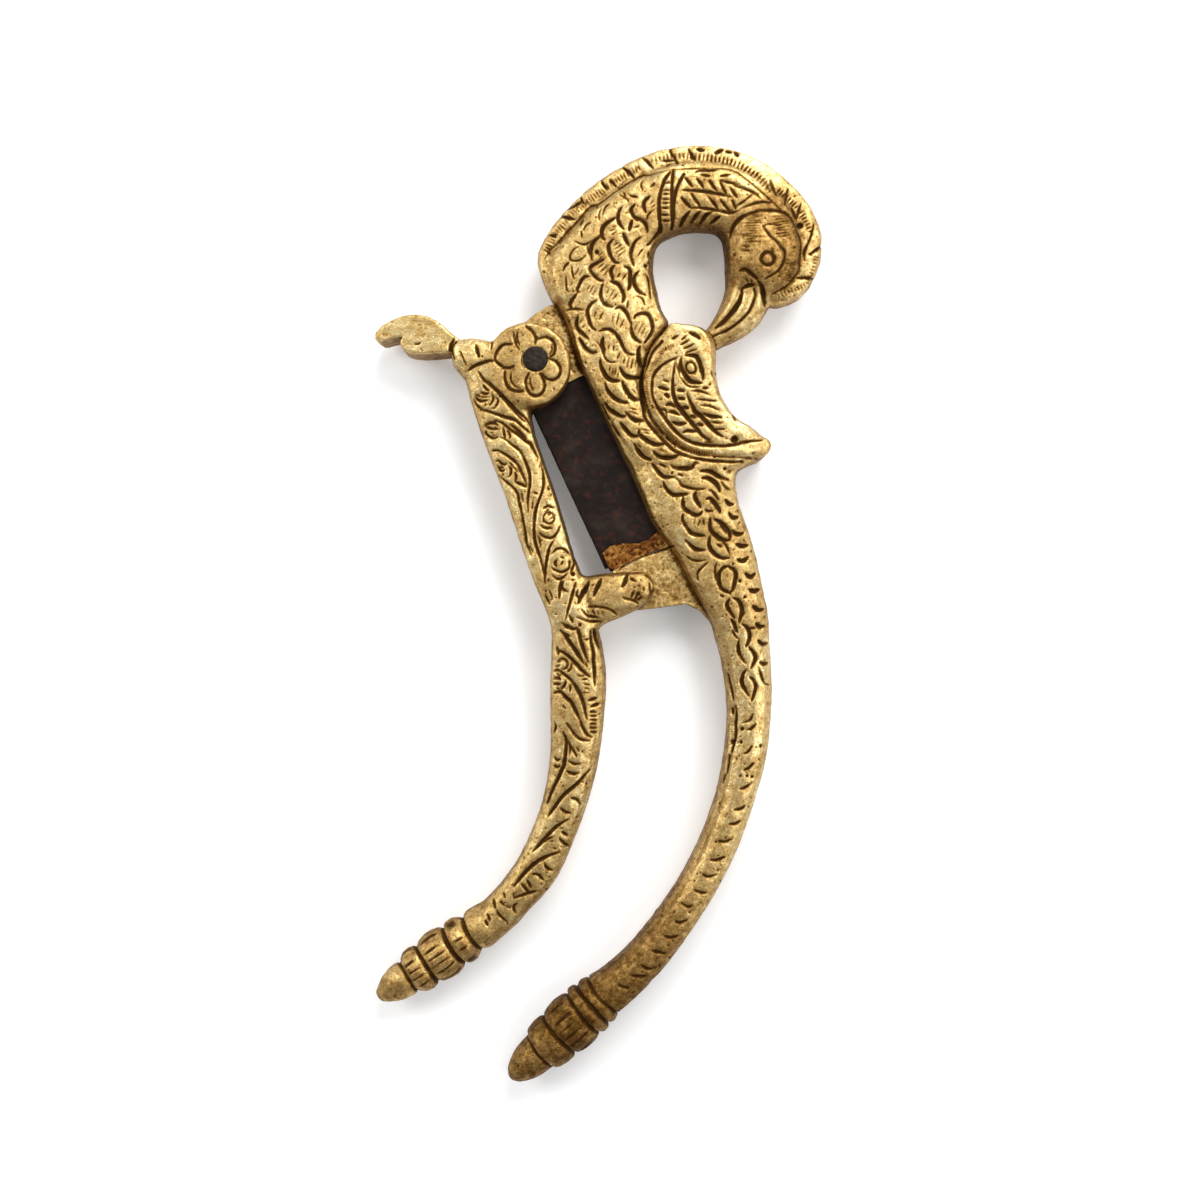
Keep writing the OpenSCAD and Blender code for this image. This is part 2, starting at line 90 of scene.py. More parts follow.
# %% [markdown]
# ## One skin for each casting
# Each lever was poured in one piece, so no seam shows between its head, neck and body. The CAD solids only
# touch each other. A voxel remesh melts them into one even skin, as wax would run together in the mould,
# and smoothing takes away the flat facets. Smoothing forward and then a little backward keeps the size.

# %% Join the solids of a casting
GROW_MM = 0.03              # neighbours overlap by twice this, so that the remesh sees one solid
VOXEL_MM = 0.19


def grown_solids(names):
    """A mesh in mm of these CAD nodes, each grown a little."""
    joined = bmesh.new()
    passing = bpy.data.meshes.new("passing")
    for name in names:
        solid = bmesh.new()
        solid.from_mesh(frame["nodes"][name].data)
        bmesh.ops.scale(solid, vec=(1 / MM, 1 / MM, 1 / MM), verts=solid.verts)
        bmesh.ops.remove_doubles(solid, verts=solid.verts, dist=0.001)
        bmesh.ops.recalc_face_normals(solid, faces=solid.faces)
        solid.normal_update()
        for vertex in solid.verts:
            vertex.co += vertex.normal * GROW_MM
        solid.to_mesh(passing)
        solid.free()
        joined.from_mesh(passing)
    mesh = bpy.data.meshes.new("grown")
    joined.to_mesh(mesh)
    joined.free()
    return mesh


def remeshed(mesh, voxel):
    """The outer skin of a mesh, in even squares: its points and its faces, as arrays."""
    carrier = bpy.data.objects.new("carrier", mesh)
    bpy.context.scene.collection.objects.link(carrier)
    melt = carrier.modifiers.new("melt", "REMESH")
    melt.mode = "VOXEL"
    melt.voxel_size = voxel
    melt.adaptivity = 0
    skin = bpy.data.meshes.new_from_object(carrier.evaluated_get(bpy.context.evaluated_depsgraph_get()))
    bpy.data.objects.remove(carrier)
    points = np.empty(len(skin.vertices) * 3)
    skin.vertices.foreach_get("co", points)
    corners = np.empty(len(skin.loops), int)
    skin.loops.foreach_get("vertex_index", corners)
    return points.reshape(-1, 3), corners.reshape(-1, 4)


# %% Helpers on a skin of squares
def edges_of(faces):
    pairs = np.concatenate([faces[:, [i, (i + 1) % 4]] for i in range(4)])
    return np.unique(np.sort(pairs, axis=1), axis=0)


def neighbour_count(edges, size):
    return np.maximum(np.bincount(edges.ravel(), minlength=size), 1).astype(float)


def neighbour_mean(values, edges, count):
    """For each point, the mean of a value over the points next to it."""
    a, b = edges.T
    total = np.stack([
        np.bincount(a, values[b, k], len(values)) + np.bincount(b, values[a, k], len(values))
        for k in range(values.shape[1])
    ], axis=1)
    return total / count[:, None]


def smoothed(points, edges, rounds, strength, steps=(0.6, -0.62)):
    """Points after so many rounds of smoothing; strength, from 0 to 1, is given for each point."""
    count = neighbour_count(edges, len(points))
    for _ in range(rounds):
        for step in steps:
            points = points + step * strength[:, None] * (neighbour_mean(points, edges, count) - points)
    return points


def spread(share, edges, rounds):
    """A value of each point, let to run into its neighbours for so many rounds."""
    count = neighbour_count(edges, len(share))
    for _ in range(rounds):
        share = neighbour_mean(share[:, None], edges, count)[:, 0]
    return share


def normals_of(points, faces):
    """Unit normals of a skin's points."""
    across = points[faces[:, 2]] - points[faces[:, 0]]
    along = points[faces[:, 3]] - points[faces[:, 1]]
    face_normals = np.cross(across, along)
    total = np.stack([
        sum(np.bincount(faces[:, i], face_normals[:, k], len(points)) for i in range(4)) for k in range(3)
    ], axis=1)
    return total / np.maximum(np.linalg.norm(total, axis=1), 1e-9)[:, None]


def nearest_nodes(points, names):
    """For each point, the number of the CAD node, in names, that it lies on."""
    corners, triangles, owner, start = [], [], [], 0
    for number, name in enumerate(names):
        mesh = frame["nodes"][name].data
        mesh.calc_loop_triangles()
        corners += [tuple(v.co / MM) for v in mesh.vertices]
        triangles += [[start + i for i in t.vertices] for t in mesh.loop_triangles]
        owner += [number] * len(mesh.loop_triangles)
        start = len(corners)
    tree = BVHTree.FromPolygons(corners, triangles)
    return np.array([owner[tree.find_nearest(p)[2]] for p in points])


# %% Melt and smooth the two castings
BIRD_NODES = [
    "bird_body", "bird_neck", "neck_collar", "bird_nape", "bird_head", "bird_beak",
    "bird_crest", "bird_wing", "tail_handle", "tail_finial", "pivot_tongue", "guide_lug",
]
ANVIL_NODES = [
    "anvil_arm", "front_boss", "rear_boss", "thumb_scroll", "front_finger", "rear_finger",
    "floral_handle", "floral_finial",
]
SMOOTH_ROUNDS = 40
CRISP_NODES = {
    "tail_finial": 0.12, "floral_finial": 0.12, "pivot_tongue": 0.2, "guide_lug": 0.3,
    "front_boss": 0.25, "rear_boss": 0.25, "bird_beak": 0.6, "bird_crest": 0.6,
}
CRISP_SPREAD = 6             # rounds in which the crispness of one node runs into the next
MELTED_JOINTS = [
    ("bird_body", "bird_neck"), ("bird_body", "tail_handle"), ("bird_neck", "neck_collar"),
    ("neck_collar", "bird_nape"), ("bird_nape", "bird_head"), ("bird_head", "bird_beak"),
    ("bird_crest", "bird_neck"), ("bird_crest", "bird_nape"), ("bird_crest", "bird_head"),
    ("anvil_arm", "floral_handle"), ("anvil_arm", "front_boss"), ("anvil_arm", "rear_boss"),
    ("anvil_arm", "front_finger"), ("anvil_arm", "rear_finger"), ("floral_handle", "floral_finial"),
]
MELT_SPREAD = 120            # rounds, so that a joint melts about 2 mm to each side
MELT_GAIN = 14               # brings the spread value back to 1 at the joint
MELT_ROUNDS = 60
MELT_STEPS = (0.6,)          # forward only, which rounds and shrinks
WORN_TIPS_PX = [(767, 441, 24), (773, 307, 16)]     # place and reach of the wing tip and the crest's end
WORN_ROUNDS = 150
LEAST_SHARE = 0.02           # a point that melts less than this stays where it is


class Casting:
    """One lever's skin: its points in mm, its faces, and the CAD node that each face lies on."""

    def __init__(self, names):
        self.names = names
        points, self.faces = remeshed(grown_solids(names), VOXEL_MM)
        self.edges = edges_of(self.faces)
        self.owner = nearest_nodes(points, names)
        crisp = np.array([CRISP_NODES.get(name, 1.0) for name in names])[self.owner]
        points = smoothed(points, self.edges, SMOOTH_ROUNDS, spread(crisp, self.edges, CRISP_SPREAD))
        self.points = self.melted(points)
        self.tarnish = np.zeros(len(points))

    def melted(self, points):
        """Points smoothed again near the joints that the wax model didn't have, and at the worn tips."""
        number = {name: i for i, name in enumerate(self.names)}
        melts = np.zeros((len(self.names), len(self.names)), bool)
        for one, other in MELTED_JOINTS:
            if one in number and other in number:
                melts[number[one], number[other]] = melts[number[other], number[one]] = True
        on_joint = melts[self.owner[self.edges[:, 0]], self.owner[self.edges[:, 1]]]
        near = np.zeros(len(points))
        near[self.edges[on_joint].ravel()] = 1
        near = np.clip(spread(near, self.edges, MELT_SPREAD) * MELT_GAIN, 0, 1)
        column, row = photo_px(points)
        worn = np.zeros(len(points))
        for x, y, reach_px in WORN_TIPS_PX:
            worn = np.maximum(worn, np.clip(2 - 2 * np.hypot(column - x, row - y) / reach_px, 0, 1))
        for rounds, share in ((MELT_ROUNDS, near), (WORN_ROUNDS, worn)):
            share[share < LEAST_SHARE] = 0
            nearby = self.edges[(share[self.edges] > 0).any(axis=1)]
            points = smoothed(points, nearby, rounds, share, MELT_STEPS)
        return points


bird_casting = Casting(BIRD_NODES)
anvil_casting = Casting(ANVIL_NODES)
print("points:", len(bird_casting.points), len(anvil_casting.points))

# %% [markdown]
# ## Chased ornament
# The feathers, leaves and rims were cut into the wax or the cast metal with gravers and punches. Each cut
# is a stroke with a width, which is deepest in its middle. The strokes are read off the photograph,
# in its pixels, and drawn on a height map. The map is then pressed into the skin along its normals, on the
# face that the photograph shows and, mirrored through the mid-plane, on the back, because such cutters are
# chased on both sides.

# %% The height map and its tools
MAP_LEFT, MAP_TOP, MAP_RIGHT, MAP_BOTTOM = 365, 135, 840, 1095
SAMPLES_PER_PX = 2
DEPTH_PER_WIDTH = 0.09       # mm of depth for each pixel of a cut's width
MOST_DEPTH_MM = 0.38
LEAST_RADIUS_PX = 0.5        # of the finest end of a cut
TAPER = 0.6                  # below 1, so that a cut is wide for most of its length
HATCH_SWAY_DEG = 7           # a hand doesn't set hatches quite evenly
HATCH_LENGTHS = (0.8, 1.15)
HATCH_INSET = 2              # samples from each end of the curve
RIDGE_STEP_PX = 2
RING_POINTS = 25
map_shape = ((MAP_BOTTOM - MAP_TOP) * SAMPLES_PER_PX, (MAP_RIGHT - MAP_LEFT) * SAMPLES_PER_PX)
face_map = np.zeros(map_shape)       # cuts in the two faces, in mm, with depths below 0
edge_map = np.zeros(map_shape)       # cuts that run on over the edge and down the side wall
wall_map = np.zeros(map_shape)       # what stands out on the side walls
rise_map = np.zeros(map_shape)       # soft rises and valleys of the faces
chance = np.random.default_rng(7)


def curve_through(points, step_px=0.5):
    """Points close together on a smooth curve through the given ones."""
    given = np.array(points, float)
    if len(given) == 2:
        count = max(int(np.linalg.norm(given[1] - given[0]) / step_px), 2)
        return given[0] + (given[1] - given[0]) * np.linspace(0, 1, count)[:, None]
    padded = np.vstack([2 * given[0] - given[1], given, 2 * given[-1] - given[-2]])
    parts = []
    for a, b, c, d in zip(padded, padded[1:], padded[2:], padded[3:]):
        count = max(int(np.linalg.norm(c - b) / step_px), 2)
        u = np.linspace(0, 1, count, endpoint=False)[:, None]
        bend, twist = 2 * a - 5 * b + 4 * c - d, 3 * b - a - 3 * c + d
        parts.append(b + ((c - a) * u + bend * u**2 + twist * u**3) / 2)
    return np.vstack(parts + [given[-1:]])


def press(height_map, centre, radius_px, depth_mm):
    """One round dent, as deep as given in its middle. A depth below 0 makes a rise."""
    x, y = (centre[0] - MAP_LEFT) * SAMPLES_PER_PX, (centre[1] - MAP_TOP) * SAMPLES_PER_PX
    reach = radius_px * SAMPLES_PER_PX
    left, right, top, bottom = int(x - reach), int(x + reach) + 2, int(y - reach), int(y + reach) + 2
    rows, columns = np.mgrid[top:bottom, left:right]
    away = ((rows - y) ** 2 + (columns - x) ** 2) / reach**2
    window = height_map[top:bottom, left:right]
    keep = np.minimum if depth_mm > 0 else np.maximum
    keep(window, -depth_mm * np.clip(1 - away, 0, 1), out=window)


def cut(width_px, points, height_map=face_map, blunt=0.35):
    """A graver's stroke: it thins towards both ends, to the share blunt of its width."""
    line = curve_through(points)
    share = np.linspace(0, 1, len(line))
    swell = blunt + (1 - blunt) * np.sin(np.pi * share) ** TAPER
    for centre, size in zip(line, swell):
        width = width_px * size
        press(height_map, centre, width / 2 + LEAST_RADIUS_PX, min(width * DEPTH_PER_WIDTH, MOST_DEPTH_MM))


def cuts(width_px, strokes, **how):
    for stroke in strokes:
        cut(width_px, stroke, **how)


def ticks(width_px, marks):
    """Short straight cuts, each from x0, y0 to x1, y1."""
    for x0, y0, x1, y1 in marks:
        cut(width_px, [(x0, y0), (x1, y1)])


def hatch(width_px, centres, count, length_px, lean=90):
    """Ticks set along a curve, leaning to it by an angle, a little uneven as a hand makes them."""
    line = curve_through(centres)
    last = len(line) - 1
    for place in np.linspace(HATCH_INSET, last - HATCH_INSET, count).astype(int):
        at = line[place]
        along = line[min(place + HATCH_INSET, last)] - line[max(place - HATCH_INSET, 0)]
        sway = chance.uniform(-HATCH_SWAY_DEG, HATCH_SWAY_DEG)
        angle = math.atan2(along[1], along[0]) + math.radians(lean + sway)
        half = length_px / 2 * chance.uniform(*HATCH_LENGTHS)
        reach = np.array([math.cos(angle), math.sin(angle)]) * half
        cut(width_px, [at - reach, at + reach])


def hatches(rows):
    """Hatching, each row with its width, curve, number of cuts, their length and, if not square, lean."""
    for row in rows:
        hatch(*row)


def ridge(width_px, points, rise_mm):
    """A rounded rise of even width along a curve, or a soft valley where the rise is below 0."""
    for centre in curve_through(points, RIDGE_STEP_PX):
        press(rise_map, centre, width_px / 2, -rise_mm)


def dents(marks):
    """Round dents in the face, each as its place, its radius in pixels and its depth in mm."""
    for x, y, radius_px, depth_mm in marks:
        press(face_map, (x, y), radius_px, depth_mm)


def ring_cut(width_px, centre, radius_px, stretch=1.0, turn=0.0):
    """A closed cut round a centre; stretch lengthens it along the angle turn."""
    angle = np.linspace(0, 2 * np.pi, RING_POINTS)
    x, y = radius_px * stretch * np.cos(angle), radius_px * np.sin(angle)
    c, s = math.cos(math.radians(turn)), math.sin(math.radians(turn))
    cut(width_px, np.stack([centre[0] + c * x - s * y, centre[1] + s * x + c * y], axis=1), blunt=1.0)


# %% Scales of the breast and neck
NECK_SCALES = [
    [(616, 217), (605, 224), (602, 230), (602, 236), (605, 240)],
    [(622, 207), (619, 211), (618, 218), (620, 224), (624, 229)], [(623, 233), (629, 246)],
    [(632, 220), (629, 231)], [(635, 204), (631, 209), (633, 215), (638, 221)],
    [(634, 216), (645, 223), (648, 233)], [(650, 196), (645, 200), (644, 205), (646, 213)],
    [(659, 220), (661, 227), (660, 232), (651, 243), (647, 245)],
    [(641, 237), (635, 242), (631, 254), (634, 266)],
    [(613, 239), (609, 244), (609, 251), (614, 261), (619, 263)],
    [(600, 236), (594, 241), (591, 248), (592, 260)], [(604, 259), (590, 268), (598, 279), (604, 281)],
    [(615, 265), (611, 270), (613, 280)], [(624, 266), (630, 270), (630, 284), (628, 290)],
    [(610, 281), (619, 285), (624, 296), (622, 303)],
    [(603, 283), (601, 290), (601, 296), (603, 302), (607, 305), (613, 307)],
    [(590, 276), (583, 278), (577, 290), (580, 292)], [(577, 293), (570, 303), (571, 309)],
    [(597, 300), (591, 304), (587, 312), (591, 326), (596, 330)],
    [(615, 309), (620, 307), (626, 312), (632, 325)],
    [(599, 331), (605, 329), (611, 330), (616, 334), (620, 340), (624, 349), (629, 354), (635, 355)],
    [(578, 316), (576, 324), (578, 330), (589, 339)],
    [(639, 271), (635, 276), (634, 281), (636, 287), (640, 292), (646, 295)],
    [(634, 319), (636, 315), (644, 313), (649, 315), (652, 321), (653, 329), (651, 335), (645, 343)],
    [(631, 325), (632, 332), (635, 338), (641, 343)],
]
NECK_LINES = [
    [(566, 276), (566, 285), (567, 290), (570, 292)], [(572, 265), (572, 271), (574, 279)],
    [(587, 244), (590, 257)], [(579, 246), (574, 249), (570, 255), (571, 260), (580, 260), (586, 255)],
    [(575, 241), (581, 244), (586, 244), (591, 241)], [(565, 311), (573, 309), (585, 310)],
    [(645, 273), (649, 280), (651, 299)], [(636, 296), (642, 298), (645, 305)], [(628, 300), (627, 309)],
    [(649, 251), (649, 257)], [(610, 203), (605, 207), (602, 216)], [(601, 208), (599, 213), (599, 220)],
    [(583, 219), (580, 225)], [(591, 222), (586, 225), (583, 230)], [(581, 231), (582, 237)],
    [(619, 194), (627, 199), (628, 202)], [(623, 191), (626, 197)], [(628, 194), (632, 196), (638, 197)],
    [(643, 179), (641, 184), (643, 191)], [(655, 183), (651, 186)], [(652, 211), (648, 215), (647, 220)],
    [(569, 262), (565, 266), (563, 271)],
]
NECK_TICKS = [
    (612, 227, 617, 226), (610, 231, 614, 229), (611, 235, 616, 232), (613, 246, 619, 242),
    (613, 250, 622, 245), (615, 253, 625, 247), (617, 257, 625, 251), (597, 269, 604, 263),
    (600, 272, 608, 265), (603, 276, 609, 269), (617, 278, 620, 273), (622, 280, 628, 272),
    (587, 290, 590, 285), (589, 293, 594, 285), (592, 295, 597, 288), (606, 294, 609, 289),
    (609, 298, 614, 290), (612, 300, 618, 293), (594, 317, 596, 311), (599, 320, 603, 312),
    (612, 322, 613, 316), (616, 326, 619, 313), (620, 328, 624, 319), (634, 331, 637, 324),
    (637, 335, 643, 323), (640, 338, 645, 327), (644, 339, 648, 330), (579, 324, 583, 319),
    (582, 328, 585, 325), (633, 228, 639, 226), (651, 208, 656, 204), (650, 204, 654, 200),
    (625, 213, 630, 212), (638, 256, 643, 249), (575, 275, 579, 268), (579, 276, 583, 270),
    (598, 256, 603, 252), (598, 261, 602, 256), (613, 333, 613, 336), (570, 287, 573, 282),
]
NECK_DENTS = [(597, 252, 2.6, 0.4), (646, 266, 2.4, 0.4)]
cuts(3.6, NECK_SCALES)
cuts(2.0, NECK_LINES)
ticks(1.3, NECK_TICKS)
dents(NECK_DENTS)
print("neck:", len(NECK_SCALES), "scales")

# %% Scales of the shoulder, between the blade and the wing
SHOULDER_SCALES = [
    [(579, 338), (582, 344), (586, 349), (591, 352), (597, 352)], [(603, 337), (602, 345), (605, 351)],
    [(640, 346), (639, 353), (640, 361), (643, 368)],
    [(600, 359), (601, 367), (606, 376), (611, 380), (620, 381)],
    [(620, 367), (623, 373), (629, 377), (641, 378)],
    [(622, 381), (625, 388), (630, 395), (635, 399), (641, 399)],
    [(605, 383), (607, 390), (613, 397), (620, 401), (628, 403)],
    [(605, 403), (609, 410), (620, 416), (626, 416)], [(625, 412), (635, 420), (645, 420)],
    [(620, 423), (630, 435), (639, 436)], [(639, 429), (640, 435), (654, 444), (665, 443)],
    [(634, 444), (637, 450), (643, 457), (651, 460)],
    [(653, 451), (658, 456), (665, 458), (674, 457), (680, 453)],
    [(652, 464), (660, 474), (665, 477), (674, 477)],
    [(671, 465), (676, 468), (690, 468), (695, 463), (699, 463)],
    [(663, 482), (665, 487), (669, 492), (675, 495), (688, 494)],
    [(700, 471), (707, 471), (713, 473), (720, 477), (729, 480)],
    [(702, 478), (708, 478), (715, 482), (719, 488), (720, 492)],
]
SHOULDER_LINES = [
    [(597, 342), (601, 347), (606, 359), (611, 362), (616, 362)], [(623, 384), (626, 392), (631, 398)],
    [(601, 405), (605, 414), (610, 421)], [(611, 424), (620, 438)],
    [(674, 477), (679, 481), (683, 486), (695, 489), (705, 489)], [(678, 474), (683, 476)],
    [(721, 481), (726, 487), (730, 490)], [(659, 464), (666, 467)],
]
SHOULDER_TICKS = [
    (608, 350, 609, 345), (613, 351, 614, 345), (617, 359, 620, 352), (625, 357, 623, 364),
    (629, 357, 627, 368), (633, 358, 631, 369), (637, 360, 636, 367), (610, 366, 609, 372),
    (613, 368, 612, 376), (616, 368, 614, 377), (619, 371, 617, 378), (632, 389, 637, 394),
    (629, 408, 638, 410), (629, 411, 639, 415), (640, 429, 651, 431), (643, 432, 651, 434),
    (658, 449, 668, 453), (592, 370, 595, 371), (637, 444, 641, 448), (685, 466, 691, 464),
]
SHOULDER_DENTS = [(672, 473, 1.8, 0.3), (725, 469, 2.0, 0.3)]
cuts(4.2, SHOULDER_SCALES)
cuts(2.6, SHOULDER_LINES)
ticks(1.5, SHOULDER_TICKS)
dents(SHOULDER_DENTS)
print("shoulder:", len(SHOULDER_SCALES), "scales")

# %% Collar and nape
COLLAR_EDGES = [
    [(670, 171), (664, 181), (659, 201), (661, 233)],
    [(673, 169), (672, 190), (672, 212), (673, 223), (672, 230)],
    [(684, 174), (677, 188), (674, 204), (674, 220)],
]
COLLAR_BEADS = [
    (664, 183, 671, 182), (663, 190, 670, 190), (662, 194, 670, 194), (661, 199, 670, 199),
    (661, 203, 670, 203), (661, 208, 670, 208), (661, 215, 670, 215), (662, 221, 670, 221),
]
NAPE_BARBS = [
    [(682, 190), (701, 191), (720, 194), (732, 197)], [(685, 177), (693, 187)], [(697, 178), (704, 188)],
    [(709, 180), (717, 191)], [(720, 181), (727, 195)], [(730, 187), (737, 197)], [(681, 197), (691, 208)],
    [(691, 193), (701, 208)], [(708, 196), (719, 210)], [(720, 199), (730, 212)], [(732, 199), (736, 209)],
    [(691, 208), (701, 208), (720, 211), (730, 213), (740, 210)],
]
NAPE_FRINGE = [
    [(690, 211), (685, 218), (680, 228)], [(701, 211), (696, 216), (691, 224)],
    [(712, 212), (706, 216), (700, 225)], [(720, 216), (710, 225)],
]
NAPE_LEAVES = [
    [(695, 172), (701, 170), (716, 170)], [(700, 174), (710, 176)], [(720, 176), (730, 174)],
    [(720, 180), (740, 185)], [(732, 185), (744, 188), (755, 193), (761, 199)],
    [(736, 206), (744, 201), (752, 194)], [(740, 209), (749, 205), (760, 202), (772, 202)],
]
cuts(3.4, COLLAR_EDGES, blunt=0.8)
ticks(2.2, COLLAR_BEADS)
cuts(3.0, NAPE_BARBS)
cuts(3.6, NAPE_FRINGE)
cuts(2.4, NAPE_LEAVES)
print("nape:", len(NAPE_BARBS) + len(NAPE_FRINGE) + len(NAPE_LEAVES), "feather strokes")

# %% Crest
CREST_SEAM = [
    (545, 258), (550, 250), (559, 241), (567, 231), (575, 223), (589, 207), (599, 203), (615, 191),
    (639, 176), (650, 174), (670, 169), (700, 168), (709, 169), (722, 168), (734, 170), (744, 177),
    (760, 190), (780, 208), (790, 217), (801, 240), (800, 262), (799, 271), (790, 283), (781, 290),
    (773, 294),
]
CREST_NOTCHES = [
    [(549, 235), (556, 236)], [(568, 209), (582, 201)], [(580, 196), (583, 203)], [(560, 216), (575, 219)],
    [(601, 179), (603, 184), (608, 189)], [(621, 166), (628, 171), (634, 177)],
    [(642, 157), (648, 162), (653, 168)], [(669, 149), (678, 163)], [(688, 148), (695, 160)],
    [(809, 255), (825, 244)], [(797, 278), (807, 278), (815, 280)], [(609, 179), (616, 186)],
]
CREST_DENTS = [
    [(697, 149), (704, 150)], [(715, 153), (723, 149)], [(726, 151), (731, 152)], [(735, 151), (738, 156)],
]
CREST_STROKES = [
    [(814, 224), (811, 236), (805, 251), (805, 261)], [(788, 188), (785, 205)], [(770, 180), (777, 196)],
    [(792, 208), (797, 219)], [(801, 203), (797, 218)], [(767, 184), (769, 189)], [(661, 161), (676, 160)],
]
CREST_HATCHES = [
    (1.5, [(546, 252), (556, 233), (570, 217), (585, 203), (600, 192), (620, 178), (640, 167)], 40, 7),
    (1.5, [(647, 162), (668, 157), (690, 156), (712, 158), (735, 163), (755, 175), (772, 190)], 34, 7),
    (1.5, [(778, 190), (792, 202), (803, 216), (811, 232)], 16, 6),
    (1.4, [(817, 256), (814, 268), (806, 284), (792, 291), (778, 297)], 18, 6),
]
CREST_HOLES = [(800.5, 225.5, 3.2, 0.5), (813, 276, 1.6, 0.3)]
ridge(8, CREST_SEAM, -0.22)
cuts(1.3, [CREST_SEAM], blunt=0.7)
cuts(3.0, CREST_NOTCHES, height_map=edge_map)
cuts(3.8, CREST_DENTS)
cuts(2.4, CREST_STROKES)
hatches(CREST_HATCHES)
dents(CREST_HOLES)
print("crest:", len(CREST_NOTCHES), "notches")

# %% Head and beak
BROW = [(763, 226), (769, 235), (776, 241), (781, 247), (785, 254), (780, 269), (765, 279)]
BROW_TOP = [(763, 226), (769, 224), (782, 225)]
HEAD_TOP = [(760, 210), (781, 211), (790, 216), (794, 221)]
HOOD = [(729, 238), (732, 228), (739, 219), (748, 214), (759, 211)]
CHEEK, CHEEK_PX, CHEEK_RISE_MM = (757, 254), 32, 0.55
BEAK_RIDGES = [
    (10, [(744, 277), (737, 291), (729, 307), (717, 323)], 0.3),
    (8, [(750, 293), (747, 305), (739, 316), (725, 328)], 0.25),
]
JAW = [(740, 271), (746, 270), (758, 280)]
BEAK_BASE = [(743, 288), (748, 286), (754, 285)]
BEAK_LOOP = [(754, 289), (755, 297), (748, 313), (731, 328), (712, 337)]
BEAK_SLIT = [(742, 288), (741, 296), (737, 305), (724, 321), (715, 328)]
CHIN = [(758, 281), (762, 288), (766, 307)]
EYE = (767.5, 259.0)
EYE_RING_PX = 6.4
EYE_CORNER = [(771, 248), (774, 254)]
HEAD_HATCHES = [
    (1.3, [(752, 214), (752, 243)], 11, 20, 88),
    (1.2, [(781, 215), (783, 237)], 8, 16, 88),
    (1.4, [(786, 258), (787, 266), (783, 272), (779, 277)], 9, 5, 80),
    (1.4, [(793, 262), (791, 272), (785, 281)], 9, 8, 60),
]
HEAD_TICKS = [(743, 246, 750, 247), (742, 251, 750, 251), (746, 277, 748, 284), (751, 279, 752, 284)]
press(rise_map, CHEEK, CHEEK_PX, -CHEEK_RISE_MM)
for width_px, points, rise_mm in BEAK_RIDGES:
    ridge(width_px, points, rise_mm)
ring_cut(3.0, EYE, EYE_RING_PX)
cuts(3.6, [HOOD], blunt=0.3)
cuts(2.6, [BROW], blunt=0.6)
cuts(4.6, [BEAK_SLIT, CHIN], blunt=0.4)
cuts(1.4, [BROW_TOP, EYE_CORNER])
cuts(4.0, [JAW, BEAK_BASE])
cuts(3.0, [BEAK_LOOP, HEAD_TOP], blunt=0.6)
hatches(HEAD_HATCHES)
ticks(1.8, HEAD_TICKS)
print(f"head: eye {2 * EYE_RING_PX * MM_PER_PX:.1f} mm wide")

# %% Wing
WING_EDGE = [
    (662, 341), (652, 352), (648, 362), (644, 371), (642, 380), (642, 394), (644, 408), (648, 421),
    (667, 443), (678, 452), (700, 459), (730, 462), (742, 462),
]
WING_RIM = [
    (676, 358), (667, 362), (660, 367), (654, 374), (652, 382), (652, 393), (655, 403), (662, 414),
    (676, 432), (693, 443), (718, 446), (732, 445), (746, 442), (762, 440),
]
WING_QUILLS = [
    [(673, 378), (673, 390), (676, 402), (682, 411), (697, 429), (704, 437), (710, 440)],
    [(687, 394), (695, 411), (702, 417), (716, 432), (723, 437)],
    [(685, 355), (697, 357), (703, 373), (703, 380)],
    [(681, 358), (681, 367), (689, 380), (695, 382), (702, 383)],
]
WING_LINES = [
    [(675, 360), (673, 380)], [(676, 362), (679, 371), (680, 377)], [(680, 377), (689, 386), (700, 387)],
    [(702, 388), (708, 388)], [(658, 409), (665, 410), (667, 417)], [(690, 391), (700, 391), (710, 395)],
    [(696, 399), (717, 401)], [(700, 405), (710, 406), (719, 410)], [(710, 422), (723, 423)],
    [(713, 429), (725, 429)], [(683, 349), (694, 344)], [(685, 353), (697, 349)], [(680, 345), (689, 340)],
    [(681, 340), (686, 336)], [(672, 339), (679, 335)], [(704, 442), (713, 442)],
]
WING_RUNGS = [
    [(658, 387), (669, 390)], [(665, 394), (669, 397)], [(666, 405), (671, 404), (675, 407)],
    [(668, 412), (673, 412), (680, 415)], [(672, 422), (679, 424), (687, 423)],
    [(682, 433), (687, 431), (697, 431)], [(677, 390), (685, 391)], [(678, 398), (685, 399)],
    [(683, 407), (689, 408)], [(690, 416), (696, 417)], [(697, 424), (703, 425)],
    [(703, 413), (710, 416), (722, 417)], [(689, 332), (697, 336), (700, 339)],
]
WING_RIM_RISE = [
    (671, 348), (658, 359), (649, 374), (646, 392), (650, 410),
    (660, 427), (675, 442), (694, 450), (720, 454), (748, 452),
]
WING_BORDER = [
    (674, 346), (664, 350), (658, 360), (652, 368), (649, 378), (647, 390), (648, 400), (653, 409),
]
WING_KEEL = [(662, 424), (668, 433), (675, 440), (683, 446), (692, 450), (702, 452), (716, 452)]
WING_HATCHES = [(1.4, WING_BORDER, 30, 5), (1.4, WING_KEEL, 25, 4)]
WING_TICKS = [(711, 370, 713, 377), (663, 380, 669, 382), (733, 415, 736, 421)]
WING_HOLE = (734.5, 439.5, 4.2, 0.5)
WING_TIP, WING_TIP_PX, WING_TIP_MM = (766, 450), 13, 0.9    # it ends in a blunt, rounded wall
PUPIL, PUPIL_PX = (691.0, 367.5), 4.6
ridge(11, WING_RIM_RISE, 0.3)
cuts(3.4, [WING_EDGE], blunt=0.8)
